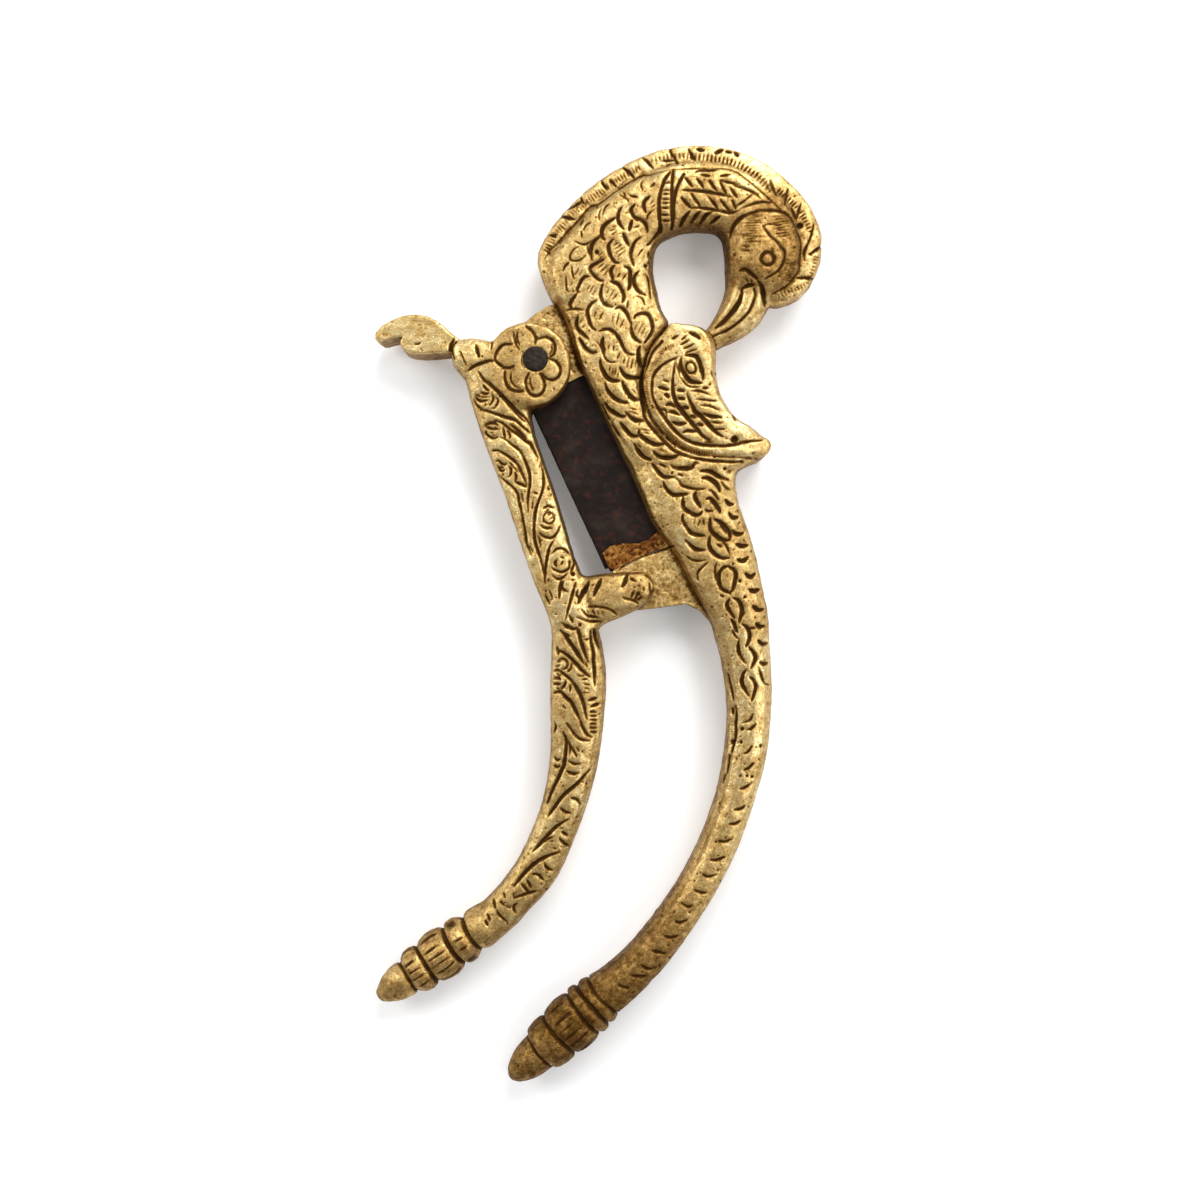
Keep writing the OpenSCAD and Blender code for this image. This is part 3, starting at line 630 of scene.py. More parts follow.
cuts(3.4, [WING_RIM], blunt=0.6)
cuts(4.6, WING_QUILLS)
cuts(2.2, WING_LINES)
cuts(3.6, WING_RUNGS)
ring_cut(2.4, PUPIL, PUPIL_PX, stretch=1.25, turn=60)
ticks(2.0, WING_TICKS)
hatches(WING_HATCHES)
dents([WING_HOLE])
press(wall_map, WING_TIP, WING_TIP_PX, -WING_TIP_MM)
print("wing:", len(WING_QUILLS), "quills and", len(WING_RUNGS), "barbs")

# %% Leaves down the tail
TAIL_LEAVES = [
    [(683, 496), (684, 508), (695, 515), (700, 514), (702, 511)], [(696, 492), (695, 497), (701, 508)],
    [(683, 514), (683, 521), (690, 532), (697, 535), (705, 536)],
    [(706, 499), (711, 499), (719, 509), (720, 513)],
    [(710, 518), (710, 526), (713, 533), (723, 540), (730, 540)],
    [(714, 519), (720, 522), (726, 527), (730, 533), (730, 539)],
    [(685, 540), (693, 548), (699, 550), (705, 550)],
    [(710, 536), (709, 543), (711, 550), (716, 555), (722, 558), (729, 558)],
    [(728, 566), (723, 568), (719, 574), (719, 582), (722, 589), (731, 594)],
    [(728, 566), (734, 570), (736, 576), (733, 589), (730, 592)],
    [(729, 599), (727, 605), (729, 610), (735, 619)],
    [(733, 598), (738, 600), (741, 605), (742, 612), (739, 623)],
    [(731, 619), (734, 624), (736, 630), (738, 633)],
    [(742, 624), (747, 628), (750, 634), (749, 641), (746, 647)],
    [(739, 640), (738, 646), (739, 654), (746, 664)], [(749, 647), (756, 657), (751, 669)],
    [(746, 670), (742, 677), (742, 685), (749, 696)], [(750, 677), (754, 681), (756, 688), (752, 701)],
]
TAIL_LINES = [
    [(708, 490), (713, 492), (719, 500)], [(705, 509), (707, 511), (713, 511)], [(720, 522), (727, 534)],
    [(717, 540), (723, 542), (727, 547), (730, 555)], [(717, 544), (722, 547)],
    [(686, 556), (692, 560), (699, 561), (706, 560)], [(708, 562), (698, 572), (698, 581)],
    [(717, 563), (715, 569), (716, 581)], [(732, 630), (735, 636), (739, 639)], [(741, 617), (745, 612)],
    [(746, 629), (756, 628)], [(720, 595), (724, 597)], [(759, 667), (762, 677), (765, 683), (769, 685)],
]
TAIL_TICKS = [(694, 525, 695, 518), (698, 526, 700, 519), (703, 518, 704, 525)]
cuts(4.0, TAIL_LEAVES)
cuts(2.4, TAIL_LINES)
ticks(1.5, TAIL_TICKS)
print("tail:", len(TAIL_LEAVES), "leaf strokes")

# %% Crescents down the tail's outer side
TAIL_CRESCENTS = [
    [(725, 499), (730, 504), (734, 504)], [(729, 512), (733, 517), (739, 517)],
    [(732, 530), (737, 534), (744, 533)], [(736, 544), (742, 546), (748, 545)],
    [(737, 559), (743, 561), (749, 557)], [(745, 573), (751, 577), (756, 573)],
    [(749, 589), (754, 591), (760, 589)], [(753, 606), (759, 610), (764, 609)],
    [(756, 623), (760, 627), (765, 626)], [(758, 640), (763, 644), (768, 643)],
    [(760, 662), (764, 664), (768, 663)],
]
cuts(4.2, TAIL_CRESCENTS, blunt=0.2)
print("tail's outer side:", len(TAIL_CRESCENTS), "crescents")

# %% Lower tail
LOWER_CRESCENTS = [
    [(743, 723), (750, 720), (753, 714)], [(747, 730), (751, 729), (756, 724)],
    [(743, 754), (748, 752), (752, 746)], [(744, 770), (749, 768), (754, 763)],
    [(740, 789), (745, 788), (750, 784)], [(734, 810), (741, 809), (745, 806)],
    [(729, 824), (735, 824), (740, 821)], [(718, 841), (725, 842), (732, 839)],
    [(710, 860), (718, 860), (725, 857)], [(702, 874), (708, 877), (716, 875)],
    [(694, 890), (701, 893), (706, 893)], [(681, 903), (688, 907), (693, 905)],
    [(675, 921), (680, 923), (687, 920)], [(664, 936), (671, 938), (678, 936)], [(652, 951), (665, 954)],
    [(641, 965), (647, 969), (653, 969)], [(630, 975), (638, 977), (646, 976)],
    [(618, 985), (625, 988), (629, 988)],
]
BEVEL_SCARS = [
    [(735, 706), (736, 714), (735, 724), (735, 736), (731, 752)], [(732, 708), (732, 714)],
    [(729, 755), (726, 770), (722, 782)], [(727, 674), (733, 700)],
]
INNER_BEVEL = [
    (708, 610), (715, 640), (723, 662), (729, 700), (730, 740), (722, 790), (716, 815), (705, 840),
    (694, 868), (684, 886), (670, 905), (655, 920), (642, 935), (625, 950), (613, 962),
]
TAIL_PITS = [
    (742, 729, 2.3), (741, 742, 1.9), (740, 776, 1.6), (747, 776, 1.7), (752, 777, 1.7),
    (761, 746, 1.9), (740, 581, 2.0), (745, 597, 1.9), (733, 564, 1.6), (732, 742, 3.1),
]
TAIL_PIT_MM = 0.3
cuts(2.8, LOWER_CRESCENTS)
cuts(3.2, BEVEL_SCARS, blunt=0.5)
ridge(7, INNER_BEVEL, -0.2)
dents([(*pit, TAIL_PIT_MM) for pit in TAIL_PITS])
print("lower tail:", len(LOWER_CRESCENTS), "crescents")

# %% Vine scrolls on the anvil arm
ARM_STEMS = [
    [(484, 380), (501, 396), (519, 416), (526, 422)], [(487, 380), (515, 409), (526, 418), (531, 425)],
    [(480, 410), (487, 411), (505, 417), (515, 420), (523, 427), (531, 433)],
    [(494, 420), (502, 423), (511, 430), (519, 435), (526, 441), (531, 444), (539, 459)],
    [(509, 424), (515, 428), (527, 439)],
    [(500, 437), (506, 440), (512, 445), (519, 450), (524, 458), (530, 476), (528, 498), (528, 513)],
    [(492, 451), (499, 451), (513, 460), (519, 467), (527, 485)],
    [(499, 476), (512, 487), (517, 493), (519, 502), (524, 527), (526, 542), (531, 555)],
    [
        (541, 463), (543, 469), (544, 478), (543, 489), (536, 509), (534, 527), (535, 542), (541, 561),
        (544, 574), (545, 584),
    ],
    [(554, 540), (549, 549), (545, 570), (545, 580)], [(561, 580), (559, 599)],
    [(563, 581), (562, 588), (568, 592)], [(576, 582), (565, 621)], [(569, 615), (573, 623)],
    [(515, 482), (527, 487)],
]
ARM_CURLS = [
    [(483, 385), (486, 389), (489, 391)], [(480, 392), (485, 394), (489, 393)],
    [(475, 396), (479, 401), (489, 400)], [(473, 399), (477, 406), (482, 409)],
    [(495, 397), (498, 401), (495, 407), (491, 409)], [(492, 393), (493, 400), (489, 406)],
    [(485, 427), (487, 424), (494, 423), (499, 426)], [(486, 427), (492, 429), (498, 429)],
    [(486, 431), (486, 434), (492, 438), (498, 437)], [(503, 427), (505, 439)],
    [(507, 430), (510, 435), (509, 439)], [(498, 460), (502, 464), (507, 464)],
    [(497, 466), (501, 471), (505, 470)], [(509, 466), (511, 470), (510, 475), (508, 477)],
    [(515, 472), (516, 477), (515, 482)], [(543, 509), (548, 506), (554, 508)],
    [(540, 525), (545, 528), (552, 528)], [(539, 532), (543, 536), (551, 538), (557, 533), (561, 525)],
    [(551, 554), (557, 549), (564, 549), (571, 555)], [(557, 559), (555, 563), (556, 567)],
    [(570, 560), (569, 568), (562, 572), (555, 570), (551, 567)],
    [(552, 575), (557, 579), (562, 578), (568, 573)], [(573, 559), (575, 563), (570, 574)],
]
ARM_TICKS = [
    (475, 394, 480, 397), (480, 397, 490, 397), (485, 403, 486, 406), (490, 433, 494, 433),
    (492, 436, 495, 435), (500, 467, 504, 468), (502, 474, 504, 475), (560, 557, 564, 558),
    (563, 561, 561, 565), (571, 580, 575, 580), (545, 512, 549, 509), (547, 516, 553, 512),
    (549, 520, 556, 515), (544, 517, 543, 523), (509, 462, 519, 473), (514, 445, 520, 452),
    (533, 492, 538, 494), (548, 487, 550, 490), (533, 498, 532, 510), (538, 535, 541, 548),
    (521, 490, 523, 503), (545, 595, 550, 605), (549, 590, 553, 600), (524, 531, 527, 540),
    (529, 545, 533, 553),
]
VINE_BUD, VINE_BUD_PX = (549.0, 518.0), 5.6
ARM_DENT = (573, 574, 2.6, 0.4)
cuts(3.1, ARM_STEMS)
cuts(2.6, ARM_CURLS)
ticks(1.9, ARM_TICKS)
ring_cut(2.0, VINE_BUD, VINE_BUD_PX)
dents([ARM_DENT])
print("arm:", len(ARM_STEMS), "stems and", len(ARM_CURLS), "curls")

# %% Finger on the arm
FINGER_BANDS = [[(589, 581), (578, 604)], [(601, 578), (593, 596)], [(627, 574), (625, 581), (622, 587)]]
FINGER_LINES = [
    [(578, 589), (577, 595), (581, 597), (584, 592)], [(589, 607), (599, 607), (610, 610), (617, 615)],
    [(581, 609), (589, 616), (599, 618)], [(576, 617), (589, 621), (602, 622)], [(560, 631), (570, 637)],
    [(578, 628), (582, 640)], [(561, 623), (574, 629)],
    [(645, 575), (650, 577), (654, 582), (655, 588), (653, 594), (648, 599)],
]
FINGER_TICKS = [
    (592, 610, 594, 615), (597, 611, 599, 616), (602, 611, 603, 616), (587, 610, 589, 614),
    (643, 586, 644, 592), (574, 602, 577, 606),
]
FINGER_FACE = [
    [(630, 578), (636, 581)], [(631, 598), (634, 591)], [(635, 600), (638, 593), (640, 596)],
    [(637, 601), (642, 597)], [(650, 582), (651, 591), (654, 595)], [(623, 598), (634, 601), (638, 604)],
]
FINGER_DENT = (580, 625, 2.2, 0.35)
cuts(4.2, FINGER_BANDS)
cuts(2.6, FINGER_LINES)
ticks(1.6, FINGER_TICKS)
cuts(2.6, FINGER_FACE, blunt=0.6)
dents([FINGER_DENT])

# %% Lip of the guide lug
LUG_LIP = [(619, 570), (626, 564), (643, 555), (662, 550), (674, 546)]
cut(3.2, LUG_LIP, height_map=edge_map)

# %% Flower on the boss
BOSS_PETALS = [
    [(512, 344), (503, 345), (497, 351), (495, 359), (500, 365), (507, 368), (514, 366)],
    [(526, 326), (532, 331), (536, 338), (535, 344)],
    [(538, 339), (545, 337), (552, 340), (555, 346), (554, 353), (550, 357)],
    [(548, 358), (555, 361), (560, 367), (560, 374), (555, 379), (548, 379), (540, 373)],
    [(529, 373), (526, 380), (527, 389), (532, 395), (539, 395), (544, 389), (544, 381), (540, 374)],
    [(505, 371), (505, 380), (509, 388), (516, 391), (523, 391)],
]
BOSS_LINES = [
    [(513, 331), (516, 344), (520, 350)], [(511, 372), (511, 380), (515, 386), (521, 389)],
    [(518, 331), (517, 338), (520, 346)], [(460, 351), (467, 367)], [(492, 341), (491, 350)],
    [(530, 377), (531, 386), (535, 391)], [(551, 344), (552, 350), (549, 355)],
    [(523, 352), (522, 362), (525, 368)],
]
BOSS_FOLDS = [[(468, 371), (474, 366), (488, 361), (494, 361)], [(476, 345), (479, 357)]]
SCROLL_ROOT = [(454, 339), (451, 345), (451, 352), (454, 359)]
SCROLL_MOUTH = [(414, 344), (418, 344), (421, 342)]
BOSS_ROOT = [(478, 371), (484, 380), (491, 387)]
cuts(3.0, BOSS_PETALS, blunt=0.6)
cuts(2.0, BOSS_LINES)
cuts(3.4, BOSS_FOLDS)
cut(3.2, SCROLL_ROOT, blunt=0.6)
cut(2.6, BOSS_ROOT)
cut(2.0, SCROLL_MOUTH)
print("boss:", len(BOSS_PETALS), "petals")

# %% Leaves on the floral handle
FLORAL_VEINS = [
    [(560, 630), (575, 650), (584, 664)], [(577, 629), (588, 662)],
    [(591, 631), (592, 642), (594, 652), (594, 662), (595, 672), (595, 686)], [(594, 629), (600, 648)],
    [(557, 650), (565, 654), (577, 665), (581, 670), (590, 677)],
    [(553, 671), (559, 671), (573, 683), (582, 699), (587, 719)],
    [(553, 693), (560, 692), (566, 698), (572, 704), (580, 720)],
    [(563, 732), (566, 742), (564, 762), (561, 771), (552, 790), (547, 803)],
    [(590, 770), (577, 784), (562, 797), (548, 816)], [(569, 819), (554, 829), (533, 851)],
    [(560, 852), (542, 859), (527, 870), (513, 887)],
]
FLORAL_CURLS = [
    [(558, 660), (563, 659), (567, 663), (566, 668), (561, 670)], [(571, 663), (571, 670)],
    [(567, 672), (570, 669)], [(553, 679), (557, 678), (561, 680)], [(553, 684), (560, 684)],
    [(566, 680), (564, 686), (560, 690)], [(570, 685), (570, 692)], [(588, 701), (597, 698)],
    [(591, 707), (599, 704)], [(580, 720), (583, 728), (588, 735), (593, 738)],
    [(554, 722), (555, 728), (552, 734)], [(566, 723), (578, 738), (590, 741)], [(570, 745), (577, 757)],
    [(568, 740), (570, 748), (569, 757)], [(554, 757), (557, 760), (560, 759)],
    [(553, 765), (557, 767), (560, 766)], [(568, 761), (574, 764), (580, 764)],
    [(566, 771), (573, 774), (579, 773)], [(571, 798), (577, 800), (581, 805)],
    [(560, 808), (565, 812), (571, 813)], [(562, 832), (568, 836)], [(559, 838), (565, 844), (569, 846)],
    [(553, 837), (543, 842)], [(544, 863), (547, 868), (553, 871)], [(532, 874), (538, 875), (543, 880)],
    [(527, 880), (531, 888)], [(521, 884), (529, 893)], [(514, 898), (537, 891)], [(557, 647), (558, 655)],
    [(562, 624), (567, 628), (574, 629), (578, 627)], [(496, 910), (499, 915), (508, 923)],
    [(487, 914), (490, 921)], [(485, 920), (488, 926)], [(493, 899), (495, 909)],
    [(517, 904), (514, 906), (514, 910), (516, 913)],
]
FLORAL_TICKS = [
    (583, 640, 590, 639), (577, 675, 583, 677), (580, 693, 589, 693), (583, 684, 590, 685),
    (555, 667, 560, 665), (557, 662, 562, 661), (556, 673, 560, 677), (503, 892, 505, 898),
    (513, 893, 514, 899), (556, 688, 559, 689), (585, 660, 587, 668), (581, 680, 588, 679),
    (584, 688, 589, 689), (576, 747, 579, 752), (562, 705, 566, 709), (549, 842, 554, 841),
    (553, 848, 556, 849), (558, 829, 563, 828), (500, 902, 505, 906), (506, 906, 511, 909),
]
FLORAL_LADDER = [(590, y, 597, y) for y in range(712, 735, 4)]
cuts(3.8, FLORAL_VEINS)
cuts(2.8, FLORAL_CURLS)
ticks(1.7, FLORAL_TICKS)
ticks(2.6, FLORAL_LADDER)
print("floral handle:", len(FLORAL_VEINS), "veins and", len(FLORAL_CURLS), "curls")

# %% Casting pits
PIT_COUNT = 2600
PIT_RADII_PX, PIT_DEPTHS_MM = (0.7, 1.5), (0.05, 0.2)
PIT_INSET_PX = 5             # from the map's border
first_corner = (MAP_LEFT + PIT_INSET_PX, MAP_TOP + PIT_INSET_PX)
last_corner = (MAP_RIGHT - PIT_INSET_PX, MAP_BOTTOM - PIT_INSET_PX)
for _ in range(PIT_COUNT):
    pit = chance.uniform(first_corner, last_corner)
    press(face_map, pit, chance.uniform(*PIT_RADII_PX), chance.uniform(*PIT_DEPTHS_MM))

# %% Press the map into the skins
SHOULDER_BLUR_PX = 2.4       # how wide a cut's shoulders are rounded
SHOULDER_SHARE = 0.9
FACE_TURN = (0.12, 0.42)     # the face's cuts fade where the skin turns to the side
WALL_TO_FACE = (0.3, 0.9)    # what is built up on a side wall fades on the face
OUTSIDE_MM = (2.4, 3.0)      # away from the mid-plane: the walls of the slot and the plates aren't chased
HANDLES_MM = (76, 80)        # below the rivet: from here on both levers are solid and chased all over
TARNISH_DEPTH_MM = 0.24      # a cut this deep keeps all its tarnish


def blurred(field, radius_px):
    rows = np.fft.fftfreq(field.shape[0])[:, None] * SAMPLES_PER_PX
    columns = np.fft.rfftfreq(field.shape[1])[None, :] * SAMPLES_PER_PX
    keep = np.exp(-2 * (np.pi * radius_px) ** 2 * (rows**2 + columns**2))
    return np.fft.irfft2(np.fft.rfft2(field) * keep, field.shape)


def read_map(field, column, row):
    """The map's value at places in the photograph, between its samples."""
    x = np.clip((column - MAP_LEFT) * SAMPLES_PER_PX, 0, field.shape[1] - 1.001)
    y = np.clip((row - MAP_TOP) * SAMPLES_PER_PX, 0, field.shape[0] - 1.001)
    i, j = y.astype(int), x.astype(int)
    v, u = y - i, x - j
    upper = field[i, j] * (1 - u) + field[i, j + 1] * u
    lower = field[i + 1, j] * (1 - u) + field[i + 1, j + 1] * u
    return upper * (1 - v) + lower * v


def ease(value, low, high):
    """A soft step from 0 at low to 1 at high."""
    share = np.clip((value - low) / (high - low), 0, 1)
    return share * share * (3 - 2 * share)


face_relief = face_map + SHOULDER_SHARE * blurred(face_map, SHOULDER_BLUR_PX)
face_relief += blurred(rise_map, SHOULDER_BLUR_PX)
edge_relief = edge_map + SHOULDER_SHARE * blurred(edge_map, SHOULDER_BLUR_PX)
for casting in (bird_casting, anvil_casting):
    normals = normals_of(casting.points, casting.faces)
    # the back is read as if it were the front, so it gets the same ornament
    seen = casting.points.copy()
    seen[:, 2] = MID_MM + np.abs(seen[:, 2] - MID_MM)
    column, row = photo_px(seen)
    outside = np.maximum(ease(np.abs(seen[:, 2] - MID_MM), *OUTSIDE_MM), ease(-seen[:, 1], *HANDLES_MM))
    chased = ease(np.abs(normals[:, 2]), *FACE_TURN) * outside
    side = 1 - ease(np.abs(normals[:, 2]), *WALL_TO_FACE)
    push = read_map(face_relief, column, row) * chased + read_map(edge_relief, column, row)
    push = push + read_map(wall_map, column, row) * side
    deep = read_map(face_map, column, row) * chased + read_map(edge_map, column, row)
    casting.points = casting.points + normals * push[:, None]
    casting.tarnish = np.clip(-deep / TARNISH_DEPTH_MM, 0, 1)
print(f"deepest cut {-face_map.min():.2f} mm")

# %% [markdown]
# ## Turned finials
# Each handle ends in a small turned finial. Its rings were cut on a lathe in the wax, and the flutes of its
# barrels were filed in by hand, so they are worked out round the finial's own axis.

# %% Rings and flutes of the finials
RING_WIDTH, RING_DEPTH_MM = 0.018, 0.3        # width as a share of the finial's length
RING_TARNISH = 0.75
SWELL_MM = 0.22                               # each barrel between two rings is a little round
RING_SWAY, RING_SWAY_TURNS = 0.008, 2         # the rings aren't quite square to the axis
RING_SWAY_SHIFT = 40                          # so that no two rings lean the same way
FLUTE_WIDTH, FLUTE_DEPTH_MM = 0.17, 0.26      # width as a share of the flute's step
FLUTE_END, FLUTE_SHORT = 0.02, 0.5            # a hand files some flutes shorter than others
FLUTE_DRIFT, FLUTE_DRIFT_TURNS = 0.35, 3      # and doesn't space them evenly
FINIALS = [
    # casting, node, places of the rings, then for each barrel its two ends and its number of flutes
    (bird_casting, "tail_finial", (0.02, 0.12, 0.225, 0.475, 0.675), [(0.245, 0.455, 15)]),
    (anvil_casting, "floral_finial", (0.205, 0.355, 0.575, 0.73),
     [(0.375, 0.555, 15), (0.6, 0.71, 13), (0.24, 0.335, 9)]),
]


def finial_places(casting, name):
    """A finial's points: which they are, their share of the way to the tip, their turn round the axis."""
    solid = np.array([v.co[:] for v in frame["nodes"][name].data.vertices]) / MM
    middle = solid.mean(axis=0)
    axis = np.linalg.svd(solid - middle, full_matrices=False)[2][0]
    axis = axis * np.sign(axis @ middle)
    along = (solid - middle) @ axis
    mine = np.flatnonzero(casting.owner == casting.names.index(name))
    offset = casting.points[mine] - middle
    share = (offset @ axis - along.min()) / np.ptp(along)
    across = np.cross(axis, (0, 0, 1))
    return mine, share, np.arctan2(offset @ across, offset[:, 2])


for casting, name, rings, barrels in FINIALS:
    mine, share, turn = finial_places(casting, name)
    depth = np.zeros(len(mine))
    for ring in rings:
        sway = RING_SWAY * np.sin(turn * RING_SWAY_TURNS + RING_SWAY_SHIFT * ring)
        away = np.abs(share - ring - sway)
        depth = np.maximum(depth, RING_DEPTH_MM * np.clip(1 - away / RING_WIDTH, 0, 1))
    dark = RING_TARNISH * depth
    swell = np.zeros(len(mine))
    for start, end in zip(rings, rings[1:]):
        place = np.clip((share - start) / (end - start), 0, 1)
        swell = np.maximum(swell, SWELL_MM * 4 * place * (1 - place))
    for start, end, count in barrels:
        step = turn / (2 * np.pi) * count + FLUTE_DRIFT * np.sin(FLUTE_DRIFT_TURNS * turn)
        flute = np.clip(1 - np.abs(step % 1 - 0.5) / FLUTE_WIDTH, 0, 1)
        number = np.floor(step).astype(int) % count
        short = FLUTE_END + FLUTE_SHORT * (end - start) * chance.uniform(0, 1, (2, count + 2))
        inside = ease(share, start, start + short[0, number]) * ease(-share, -end, -end + short[1, number])
        depth = np.maximum(depth, FLUTE_DEPTH_MM * flute * inside)
        dark = np.maximum(dark, FLUTE_DEPTH_MM * flute * inside)
    normals = normals_of(casting.points, casting.faces)[mine]
    casting.points[mine] += normals * (swell - depth)[:, None]
    casting.tarnish[mine] = np.maximum(casting.tarnish[mine], np.clip(dark / TARNISH_DEPTH_MM, 0, 1))
    print(name, len(mine), "points")

# %% [markdown]
# ## Handwork, tarnish and painted shade
# Nothing on the real cutter is quite flat: files, wax and wear leave slow waves in the brass. The dark
# tarnish stays in the hollows, on the side walls that no hand rubs and in the finials' rings, and it is
# thicker on the plates. Down each handle towards the finials the colour is darkened further as painted shade,
# where less light falls.

# %% Waves, tarnish and painted shade
WAVE_COUNT = 60
WAVE_SIZES = (0.6, 1.5)      # the spread of their sizes
SLOW_WAVE, SLOW_WAVE_MM = 3.2, 0.035
FINE_WAVE, FINE_WAVE_MM = 0.9, 0.014
ROUGH_PLATE_MM = 0.03
HOLLOW_ROUNDS, HOLLOW_MM, HOLLOW_TARNISH = 14, 0.085, 0.75
WALL_TURN = (0.55, 0.05)
WALL_TARNISH = 0.36
NODE_TARNISH = {
    "guide_lug": 0.12, "pivot_tongue": 0.1, "bird_head": 0.36, "bird_nape": 0.14, "bird_body": 0.1,
    "bird_neck": 0.1, "front_boss": 0.16, "front_finger": 0.16, "floral_handle": 0.05,
}
NODE_SPREAD = 70             # rounds in which the tarnish of one node runs into the next
# painted shade: each handle's colour darkens towards its lower end, where less light falls; strengths for the bird
# and the anvil lever
FOOT_TARNISH, FOOT_MM = (0.52, 0.26), (82, 126)     # it grows down each handle, from and to below the rivet
PLATES = ("guide_lug", "pivot_tongue")
REST_MM = 0.01               # the lowest places are worn flat where the cutter rests


def waves(points, size_mm, seed):
    """A smooth uneven value for each point, mostly from -1 to 1, made of waves that run every way."""
    rng = np.random.default_rng(seed)
    ways = rng.normal(size=(WAVE_COUNT, 3))
    ways /= np.linalg.norm(ways, axis=1)[:, None]
    ways *= 2 * np.pi / size_mm * rng.uniform(*WAVE_SIZES, (WAVE_COUNT, 1))
    phases = rng.uniform(0, 2 * np.pi, WAVE_COUNT)
    return np.cos(points @ ways.T + phases).sum(axis=1) / math.sqrt(WAVE_COUNT)


def hollowness(points, faces, edges):
    """How far each point lies below the mean of the skin round it, in mm."""
    count = neighbour_count(edges, len(points))
    mean = points
    for _ in range(HOLLOW_ROUNDS):
        mean = neighbour_mean(mean, edges, count)
    return ((mean - points) * normals_of(points, faces)).sum(axis=1)


for casting, foot in zip((bird_casting, anvil_casting), FOOT_TARNISH):
    normals = normals_of(casting.points, casting.faces)
    plate = np.isin(casting.owner, [i for i, name in enumerate(casting.names) if name in PLATES])
    uneven = SLOW_WAVE_MM * waves(casting.points, SLOW_WAVE, seed=3)
    uneven += FINE_WAVE_MM * waves(casting.points, FINE_WAVE, seed=4)
    uneven += ROUGH_PLATE_MM * plate * waves(casting.points, FINE_WAVE, seed=5)
    casting.points = casting.points + normals * uneven[:, None]
    casting.points[:, 2] = np.maximum(casting.points[:, 2], REST_MM)
    own = np.array([NODE_TARNISH.get(name, 0.0) for name in casting.names])[casting.owner]
    own = spread(own, casting.edges, NODE_SPREAD)
    # painted shade, not tarnish: the colour gets darker towards the bottom of each handle
    own = np.maximum(own, foot * ease(-casting.points[:, 1], *FOOT_MM))
    hollow = np.clip(hollowness(casting.points, casting.faces, casting.edges) / HOLLOW_MM, 0, 1)
    wall = WALL_TARNISH * ease(-np.abs(normals[:, 2]), -WALL_TURN[0], -WALL_TURN[1])
    clean = (1 - casting.tarnish) * (1 - HOLLOW_TARNISH * hollow) * (1 - wall) * (1 - own)
    casting.tarnish = 1 - clean
    print(f"mean tarnish {casting.tarnish.mean():.2f}")

# %% [markdown]
# ## Cutting the skin back into pieces
# The CAD part keeps the head, the neck, the wing and so on as named pieces, so the finished skin is cut
# along their joints. Each cut is closed, except where that would wall off the slot of the anvil arm. Every
# piece keeps the normals of the whole skin, so that the joints don't show.

# %% Pieces from a casting
RIM_BLUR = 4                 # points to each side, so that a ragged rim isn't taken for a change of sides
SLOT_END_MM = ((7.4, -49.6), (24, -30))        # corners of the space that the guide lug swings into


def open_rings(faces):
    """The rings of open edges of a patch of faces, as places of points, in the order for closing faces."""
    here = np.concatenate([faces[:, [i, (i + 1) % 4]] for i in range(4)])
    known = {(a, b) for a, b in here.tolist()}
    following = {}
    for a, b in known:
        if (b, a) not in known:
            following.setdefault(b, []).append(a)
    rings = []
    while following:
        first = next(iter(following))
        ring, at = [], first
        while at in following:
            ring.append(at)
            onward = following[at].pop()
            if not following[at]:
                del following[at]
            at = onward
        rings.append(ring)
    return [ring for ring in rings if len(ring) > 2]


def closing_triangles(rim):
    """Triangles, as places on the rim, that close it. A cut through the casting has a front and a back
    edge and gets a strip between them; any other cut gets a fan from a new middle point."""
    size = len(rim)
    window = np.arange(-RIM_BLUR, RIM_BLUR + 1)
    height = rim[(np.arange(size)[:, None] + window) % size, 2].mean(axis=1)
    turns = np.flatnonzero((height > MID_MM) != (np.roll(height, 1) > MID_MM))
    if len(turns) != 2:
        return [(i, (i + 1) % size, size) for i in range(size)], rim.mean(axis=0)[None]
    front = list(range(turns[0], turns[1] + 1))
    back = [i % size for i in range(turns[0] + size, turns[1] - 1, -1)]
    triangles, i, j = [], 0, 0
    while i < len(front) - 1 or j < len(back) - 1:
        front_share, back_share = i / (len(front) - 1), j / (len(back) - 1)
        if j == len(back) - 1 or (i < len(front) - 1 and front_share <= back_share):
            triangles.append((front[i], front[i + 1], back[j]))
            i += 1
        else:
            triangles.append((back[j + 1], back[j], front[i]))
            j += 1
    return [t for t in triangles if len(set(t)) == 3], np.empty((0, 3))


def clear_of_slot(triangles, corners):
    """Leaves out the closing faces that would wall off the slot's end, where the guide lug swings in."""
    places = corners[np.array(triangles)]
    middle, height = places[:, :, :2].mean(axis=1), places[:, :, 2]
    across = (height.min(axis=1) < MID_MM) & (height.max(axis=1) > MID_MM)
    inside = ((middle > SLOT_END_MM[0]) & (middle < SLOT_END_MM[1])).all(axis=1)
    return [triangle for triangle, gone in zip(triangles, across & inside) if not gone]


def make_piece(node, points, normals, tarnish, polygons, slot, material):
    """Puts a finished mesh in the place of a CAD node, on the node's own body."""
    mesh = bpy.data.meshes.new(node)
    mesh.from_pydata((points * MM).tolist(), [], polygons)
    mesh.shade_smooth()
    mesh.normals_split_custom_set_from_vertices(normals.tolist())
    # this point attribute holds real tarnish and the painted shade down the handles
    mesh.attributes.new("tarnish", "FLOAT", "POINT").data.foreach_set("value", tarnish.astype(np.float32))
    mesh.materials.append(material)
    piece = bpy.data.objects.new(node + PIECE_ENDING[slot], mesh)
    bpy.context.scene.collection.objects.link(piece)
    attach(piece, BODY_OF[node])
    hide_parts(node)
    print(piece.name, len(mesh.polygons))


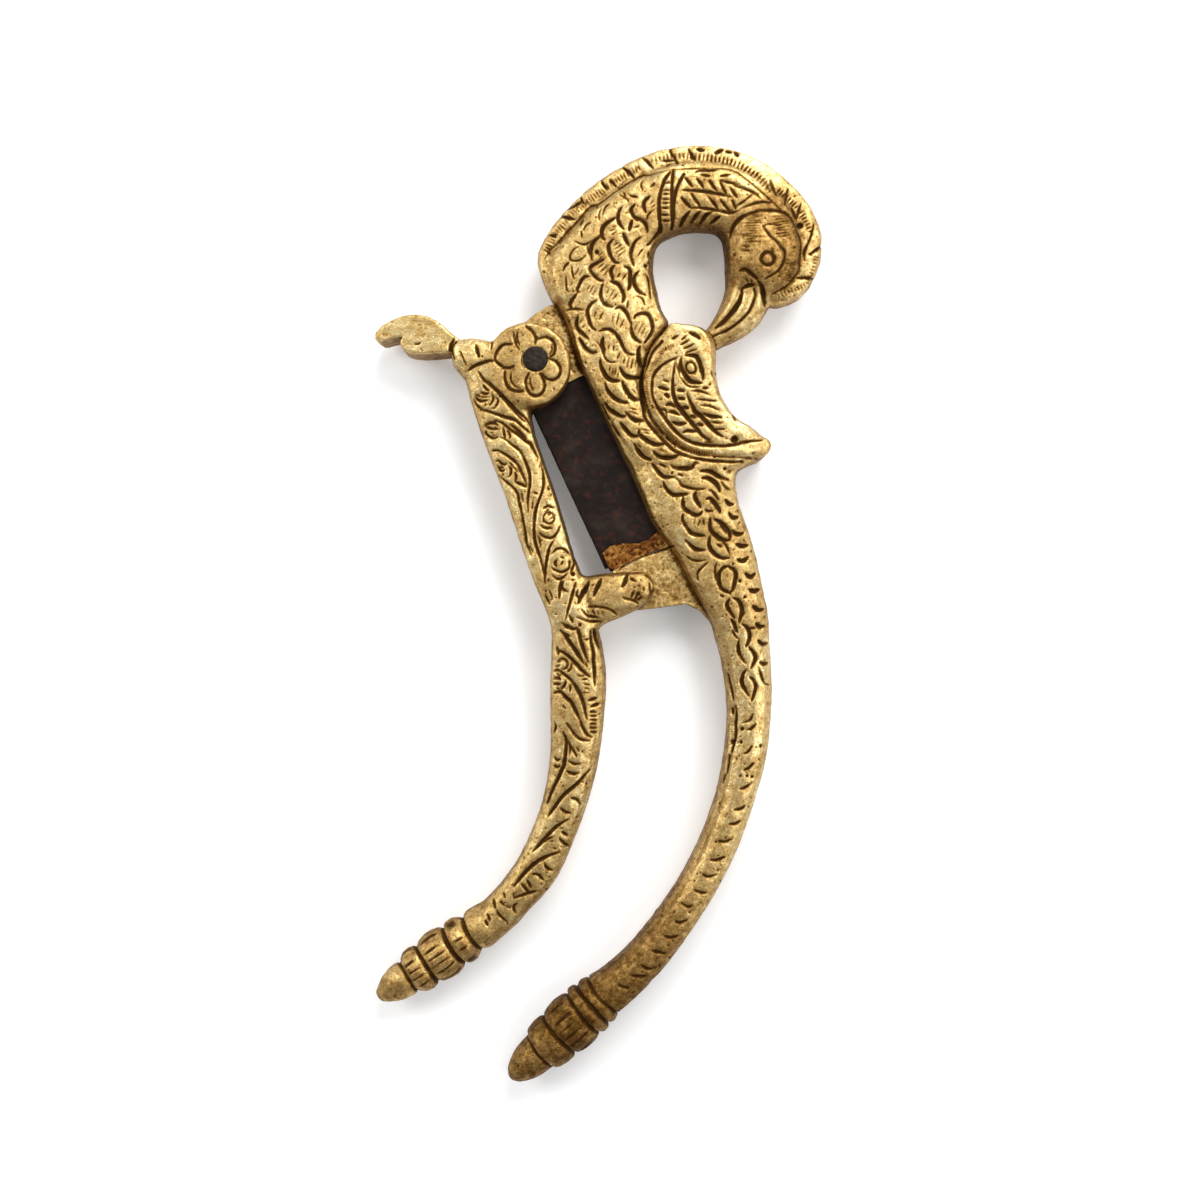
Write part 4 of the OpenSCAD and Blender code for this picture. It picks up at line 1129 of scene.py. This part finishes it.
def cast_piece(casting, number, material):
    """Makes a piece of the faces of a casting that lie on one CAD node, closed where they were cut."""
    mine = casting.faces[casting.face_owner == number]
    used, local = np.unique(mine, return_inverse=True)
    local = local.reshape(-1, 4)
    points, normals, tarnish = casting.points[used], casting.normals[used], casting.tarnish[used]
    polygons = local.tolist()
    for ring in open_rings(local):
        triangles, middle = closing_triangles(points[ring])
        corners = np.vstack([points[ring], middle])
        if casting is anvil_casting:
            triangles = clear_of_slot(triangles, corners)
        if not triangles:
            continue
        a, b, c = np.array(triangles).T
        across = np.cross(corners[b] - corners[a], corners[c] - corners[a])
        facing = np.zeros_like(corners)
        for corner in (a, b, c):
            np.add.at(facing, corner, across)
        facing /= np.maximum(np.linalg.norm(facing, axis=1), 1e-9)[:, None]
        polygons += [[len(points) + i for i in triangle] for triangle in triangles]
        points = np.vstack([points, corners])
        normals = np.vstack([normals, facing])
        tarnish = np.concatenate([tarnish, np.ones(len(corners))])
    make_piece(casting.names[number], points, normals, tarnish, polygons, "cast_brass", material)


BODY_OF = {node: body for body, nodes in frame["record"]["behaviour"]["bodies"].items() for node in nodes}
PIECE_ENDING = {
    "cast_brass": "_cast", "braze_brass": "_run", "blade_iron": "_forged", "rivet_iron": "_hammered",
}

# %% [markdown]
# ## Finishes
# Each finish is mixed from noise at the real size of its spots. Brass reads the tarnish and painted shade of each
# point as well, so that the cuts, hollows and side walls stay dark and the handles darken towards their ends as
# painted shade.

# %% Helpers for materials
def linear(hex_colour):
    """An sRGB hex colour as the linear RGBA that Blender works in."""
    shares = [int(hex_colour[i:i + 2], 16) / 255 for i in (1, 3, 5)]
    return [s / 12.92 if s <= 0.04045 else ((s + 0.055) / 1.055) ** 2.4 for s in shares] + [1.0]


def add(tree, kind, inputs=None, **settings):
    """Adds one node with its settings, and gives each named input a value or the output that feeds it."""
    made = tree.nodes.new(kind)
    for name, value in settings.items():
        setattr(made, name, value)
    for name, value in (inputs or {}).items():
        if isinstance(value, bpy.types.NodeSocket):
            tree.links.new(value, made.inputs[name])
        else:
            made.inputs[name].default_value = value
    return made


def ramp(tree, factor, stops):
    """A colour ramp with stops of (place, hex colour)."""
    made = add(tree, "ShaderNodeValToRGB", {"Fac": factor})
    marks = made.color_ramp.elements
    while len(marks) < len(stops):
        marks.new(1.0)
    for mark, (place, colour) in zip(marks, stops):
        mark.position = place
        mark.color = linear(colour)
    return made.outputs["Color"]


def noise(tree, size_mm, detail, roughness=0.5):
    """Noise from 0 to 1 with spots of about this size on the real object."""
    place = add(tree, "ShaderNodeTexCoord").outputs["Object"]
    inputs = {"Vector": place, "Scale": 1 / (size_mm * MM), "Detail": detail, "Roughness": roughness}
    return add(tree, "ShaderNodeTexNoise", inputs).outputs["Fac"]


def mapped(tree, value, span=(0.0, 1.0), to=(0.0, 1.0)):
    """A value brought from one span to another."""
    ends = {"Value": value, "From Min": span[0], "From Max": span[1], "To Min": to[0], "To Max": to[1]}
    return add(tree, "ShaderNodeMapRange", ends).outputs["Result"]


def bumped(tree, height, strength, distance_mm):
    """Normals that follow a height, for pits too fine for the skin's own points."""
    inputs = {"Height": height, "Strength": strength, "Distance": distance_mm * MM}
    return add(tree, "ShaderNodeBump", inputs).outputs["Normal"]


def new_material(name):
    material = bpy.data.materials.new(name)
    material.use_nodes = True
    return material, material.node_tree, material.node_tree.nodes["Principled BSDF"]


# %% Cast brass, antiqued
CLOUD_MM, MOTTLE_MM, GRAIN_MM = 7.0, 1.1, 0.3
CLOUD_SHARE, MOTTLE_SHARE, PORE_SHARE, TARNISH_SHARE = 0.7, 0.95, 0.45, 0.85
PORES = (0.57, 0.68)         # from this much noise on, a pore shows
BRASS_ROUGHNESS = (0.3, 0.7)


def antique_brass(name, dirtiness, stops):
    # Lost-wax brass, chased with gravers, darkened all over and then rubbed on its high places. That
    # leaves black-brown cuts and pores in a pale, soft gold.
    material, tree, shader = new_material(name)
    tarnish = add(tree, "ShaderNodeAttribute", attribute_name="tarnish").outputs["Fac"]

    def plus(value, share, rest):
        terms = {0: value, 1: share, 2: rest}
        return add(tree, "ShaderNodeMath", terms, operation="MULTIPLY_ADD").outputs[0]

    cloud = noise(tree, CLOUD_MM, detail=4.0, roughness=0.6)
    mottle = noise(tree, MOTTLE_MM, detail=5.0, roughness=0.6)
    grain = noise(tree, GRAIN_MM, detail=3.0, roughness=0.6)
    # a rubbed place shows dark specks where its pores hold tarnish
    pores = mapped(tree, grain, PORES)
    # half of each share is taken off, because the noises are 0.5 on the whole
    dirt = plus(cloud, CLOUD_SHARE, dirtiness - (CLOUD_SHARE + MOTTLE_SHARE) / 2)
    dirt = plus(mottle, MOTTLE_SHARE, dirt)
    dirt = plus(pores, PORE_SHARE, dirt)
    # the tarnish attribute also carries painted shade that darkens the handles towards their ends
    dirt = plus(tarnish, TARNISH_SHARE, dirt)
    tree.links.new(ramp(tree, dirt, stops), shader.inputs["Base Color"])
    # tarnish is a dull skin of oxide over the metal; the painted shade in the same value dulls the metal too
    tree.links.new(mapped(tree, dirt, (0.45, 1.0), (1.0, 0.9)), shader.inputs["Metallic"])
    tree.links.new(mapped(tree, dirt, to=BRASS_ROUGHNESS), shader.inputs["Roughness"])
    tree.links.new(bumped(tree, grain, strength=0.8, distance_mm=0.11), shader.inputs["Normal"])
    return material


brass = antique_brass("antiqued_cast_brass", 0.2, [
    (0.0, "#E8D29C"), (0.25, "#CAAA6C"), (0.5, "#9E7B45"), (0.75, "#6A4A1C"), (1.0, "#422808"),
])
# The braze ran over the iron and scaled in the fire, so it stayed rougher and redder than the casting.
run_brass = antique_brass("fire_scaled_braze", 0.52, [
    (0.2, "#C9A261"), (0.42, "#A67A3C"), (0.58, "#7E4F22"), (0.72, "#4C2510"), (0.9, "#2A1208"),
])


# %% Iron of the blade and the rivet
OXIDE_MM, BLOOM_MM = 4.0, 1.3
BLOOMS = (0.54, 0.7)         # from this much noise on, rust shows
IRON_ROUGHNESS = (0.35, 0.75)
RUST = "#4A1E10"


def oxidised_iron(name, stops, rust):
    # Forged carbon steel under a brown-black oxide, with small blooms of red rust. Hammer and use wore
    # it grey in places, and it shines only a little.
    material, tree, shader = new_material(name)
    oxide, bloom = noise(tree, OXIDE_MM, detail=8.0), noise(tree, BLOOM_MM, detail=6.0)
    red = mapped(tree, bloom, BLOOMS, (0.0, rust))
    mixed = add(tree, "ShaderNodeMix", {"Factor": red}, data_type="RGBA")
    tree.links.new(ramp(tree, oxide, stops), mixed.inputs["A"])
    mixed.inputs["B"].default_value = linear(RUST)
    tree.links.new(mixed.outputs["Result"], shader.inputs["Base Color"])
    shader.inputs["Metallic"].default_value = 0.25
    shader.inputs["Specular IOR Level"].default_value = 0.25
    tree.links.new(mapped(tree, bloom, to=IRON_ROUGHNESS), shader.inputs["Roughness"])
    tree.links.new(bumped(tree, bloom, strength=0.6, distance_mm=0.1), shader.inputs["Normal"])
    return material


blade_iron = oxidised_iron("browned_blade_iron", [
    (0.3, "#100705"), (0.48, "#190D08"), (0.6, "#221711"), (0.75, "#332A23"),
], 0.5)
rivet_iron = oxidised_iron("hammered_rivet_iron", [
    (0.3, "#130B06"), (0.5, "#1F150C"), (0.65, "#2F2316"), (0.8, "#4A3B2B"),
], 0.15)

# %% Make the pieces of the castings
for casting in (bird_casting, anvil_casting):
    casting.normals = normals_of(casting.points, casting.faces)
    casting.face_owner = casting.owner[casting.faces[:, 0]]
    for number in range(len(casting.names)):
        cast_piece(casting, number, brass)

# %% [markdown]
# ## Blade, braze and rivet
# The blade was forged flat and ground on both sides. Molten brass was run round its low end to hold it,
# which left a ragged, lumpy border. The rivet's ends were hammered down on the bosses. Each starts from its
# CAD solid, with a slightly uneven skin.

# %% Forged, run and hammered pieces
SMALL_WAVES, SMALL_SHARE = 3, 0.5        # smaller waves lie on the large ones: how many times, and how high
WORKED_TARNISH = 0.5


def worked_piece(node, voxel, rounds, wave_mm, height_mm, slot, material):
    """Makes a piece of one CAD node, with a fine skin, softened edges and uneven waves."""
    points, faces = remeshed(grown_solids([node]), voxel)
    edges = edges_of(faces)
    points = smoothed(points, edges, rounds, np.ones(len(points)))
    small = waves(points, wave_mm / SMALL_WAVES, seed=9)
    uneven = height_mm * (waves(points, wave_mm, seed=8) + SMALL_SHARE * small)
    points = points + normals_of(points, faces) * uneven[:, None]
    points[:, 2] = np.maximum(points[:, 2], REST_MM)
    hollow = WORKED_TARNISH * np.clip(hollowness(points, faces, edges) / HOLLOW_MM, 0, 1)
    make_piece(node, points, normals_of(points, faces), hollow, faces.tolist(), slot, material)


WORKED = [
    # node, size of the skin's squares, rounds of smoothing, size and height of the waves, slot, material
    ("blade", 0.2, 5, 3.6, 0.02, "blade_iron", blade_iron),
    ("blade_braze", 0.13, 6, 3.2, 0.07, "braze_brass", run_brass),
    ("pivot_rivet", 0.11, 8, 3.4, 0.09, "rivet_iron", rivet_iron),
]
for worked_row in WORKED:
    worked_piece(*worked_row)

# %% [markdown]
# ## Table and light
# The cutter lies on a white table under soft, even light.

# %% Table
FLOOR_M = 1.2
FLOOR_GLOW = 0.14            # for the camera only: the table stays white and still shows the shadows
floor_mesh = bpy.data.meshes.new("table")
floor_mesh.from_pydata(
    [(x * FLOOR_M, y * FLOOR_M, 0) for x, y in ((-1, -1), (1, -1), (1, 1), (-1, 1))], [], [(0, 1, 2, 3)]
)
floor = bpy.data.objects.new("table", floor_mesh)
bpy.context.scene.collection.objects.link(floor)
paper, paper_tree, paper_shader = new_material("white_paper")
paper_shader.inputs["Base Color"].default_value = linear("#F4F4F4")
paper_shader.inputs["Roughness"].default_value = 0.9
ray = add(paper_tree, "ShaderNodeLightPath").outputs["Is Camera Ray"]
paper_shader.inputs["Emission Color"].default_value = linear("#FFFFFF")
glow = add(paper_tree, "ShaderNodeMath", {0: ray, 1: FLOOR_GLOW}, operation="MULTIPLY").outputs[0]
paper_tree.links.new(glow, paper_shader.inputs["Emission Strength"])
floor_mesh.materials.append(paper)

# %% Light
LAMPS = [
    # name, place and side in metres, watts
    ("window_above", (0.2, 0.42, 0.42), 0.4, 3.7),
    ("window_left", (-0.5, 0.16, 0.42), 0.35, 2.0),
    ("fill_right", (0.5, -0.1, 0.5), 0.4, 1.9),
]
WORLD_STRENGTH = 0.42


def soft_lamp(name, place, side_m, watts):
    """A square lamp that faces the rivet."""
    lamp = bpy.data.lights.new(name, "AREA")
    lamp.shape = "SQUARE"
    lamp.size = side_m
    lamp.energy = watts
    made = bpy.data.objects.new(name, lamp)
    made.location = place
    aim = -made.location
    made.rotation_euler = aim.to_track_quat("-Z", "Y").to_euler()
    bpy.context.scene.collection.objects.link(made)


for lamp_row in LAMPS:
    soft_lamp(*lamp_row)
world = bpy.data.worlds.new("studio")
bpy.context.scene.world = world
world.use_nodes = True
world.node_tree.nodes["Background"].inputs["Color"].default_value = linear("#FFFFFF")
world.node_tree.nodes["Background"].inputs["Strength"].default_value = WORLD_STRENGTH
bpy.context.scene.view_settings.view_transform = "Standard"
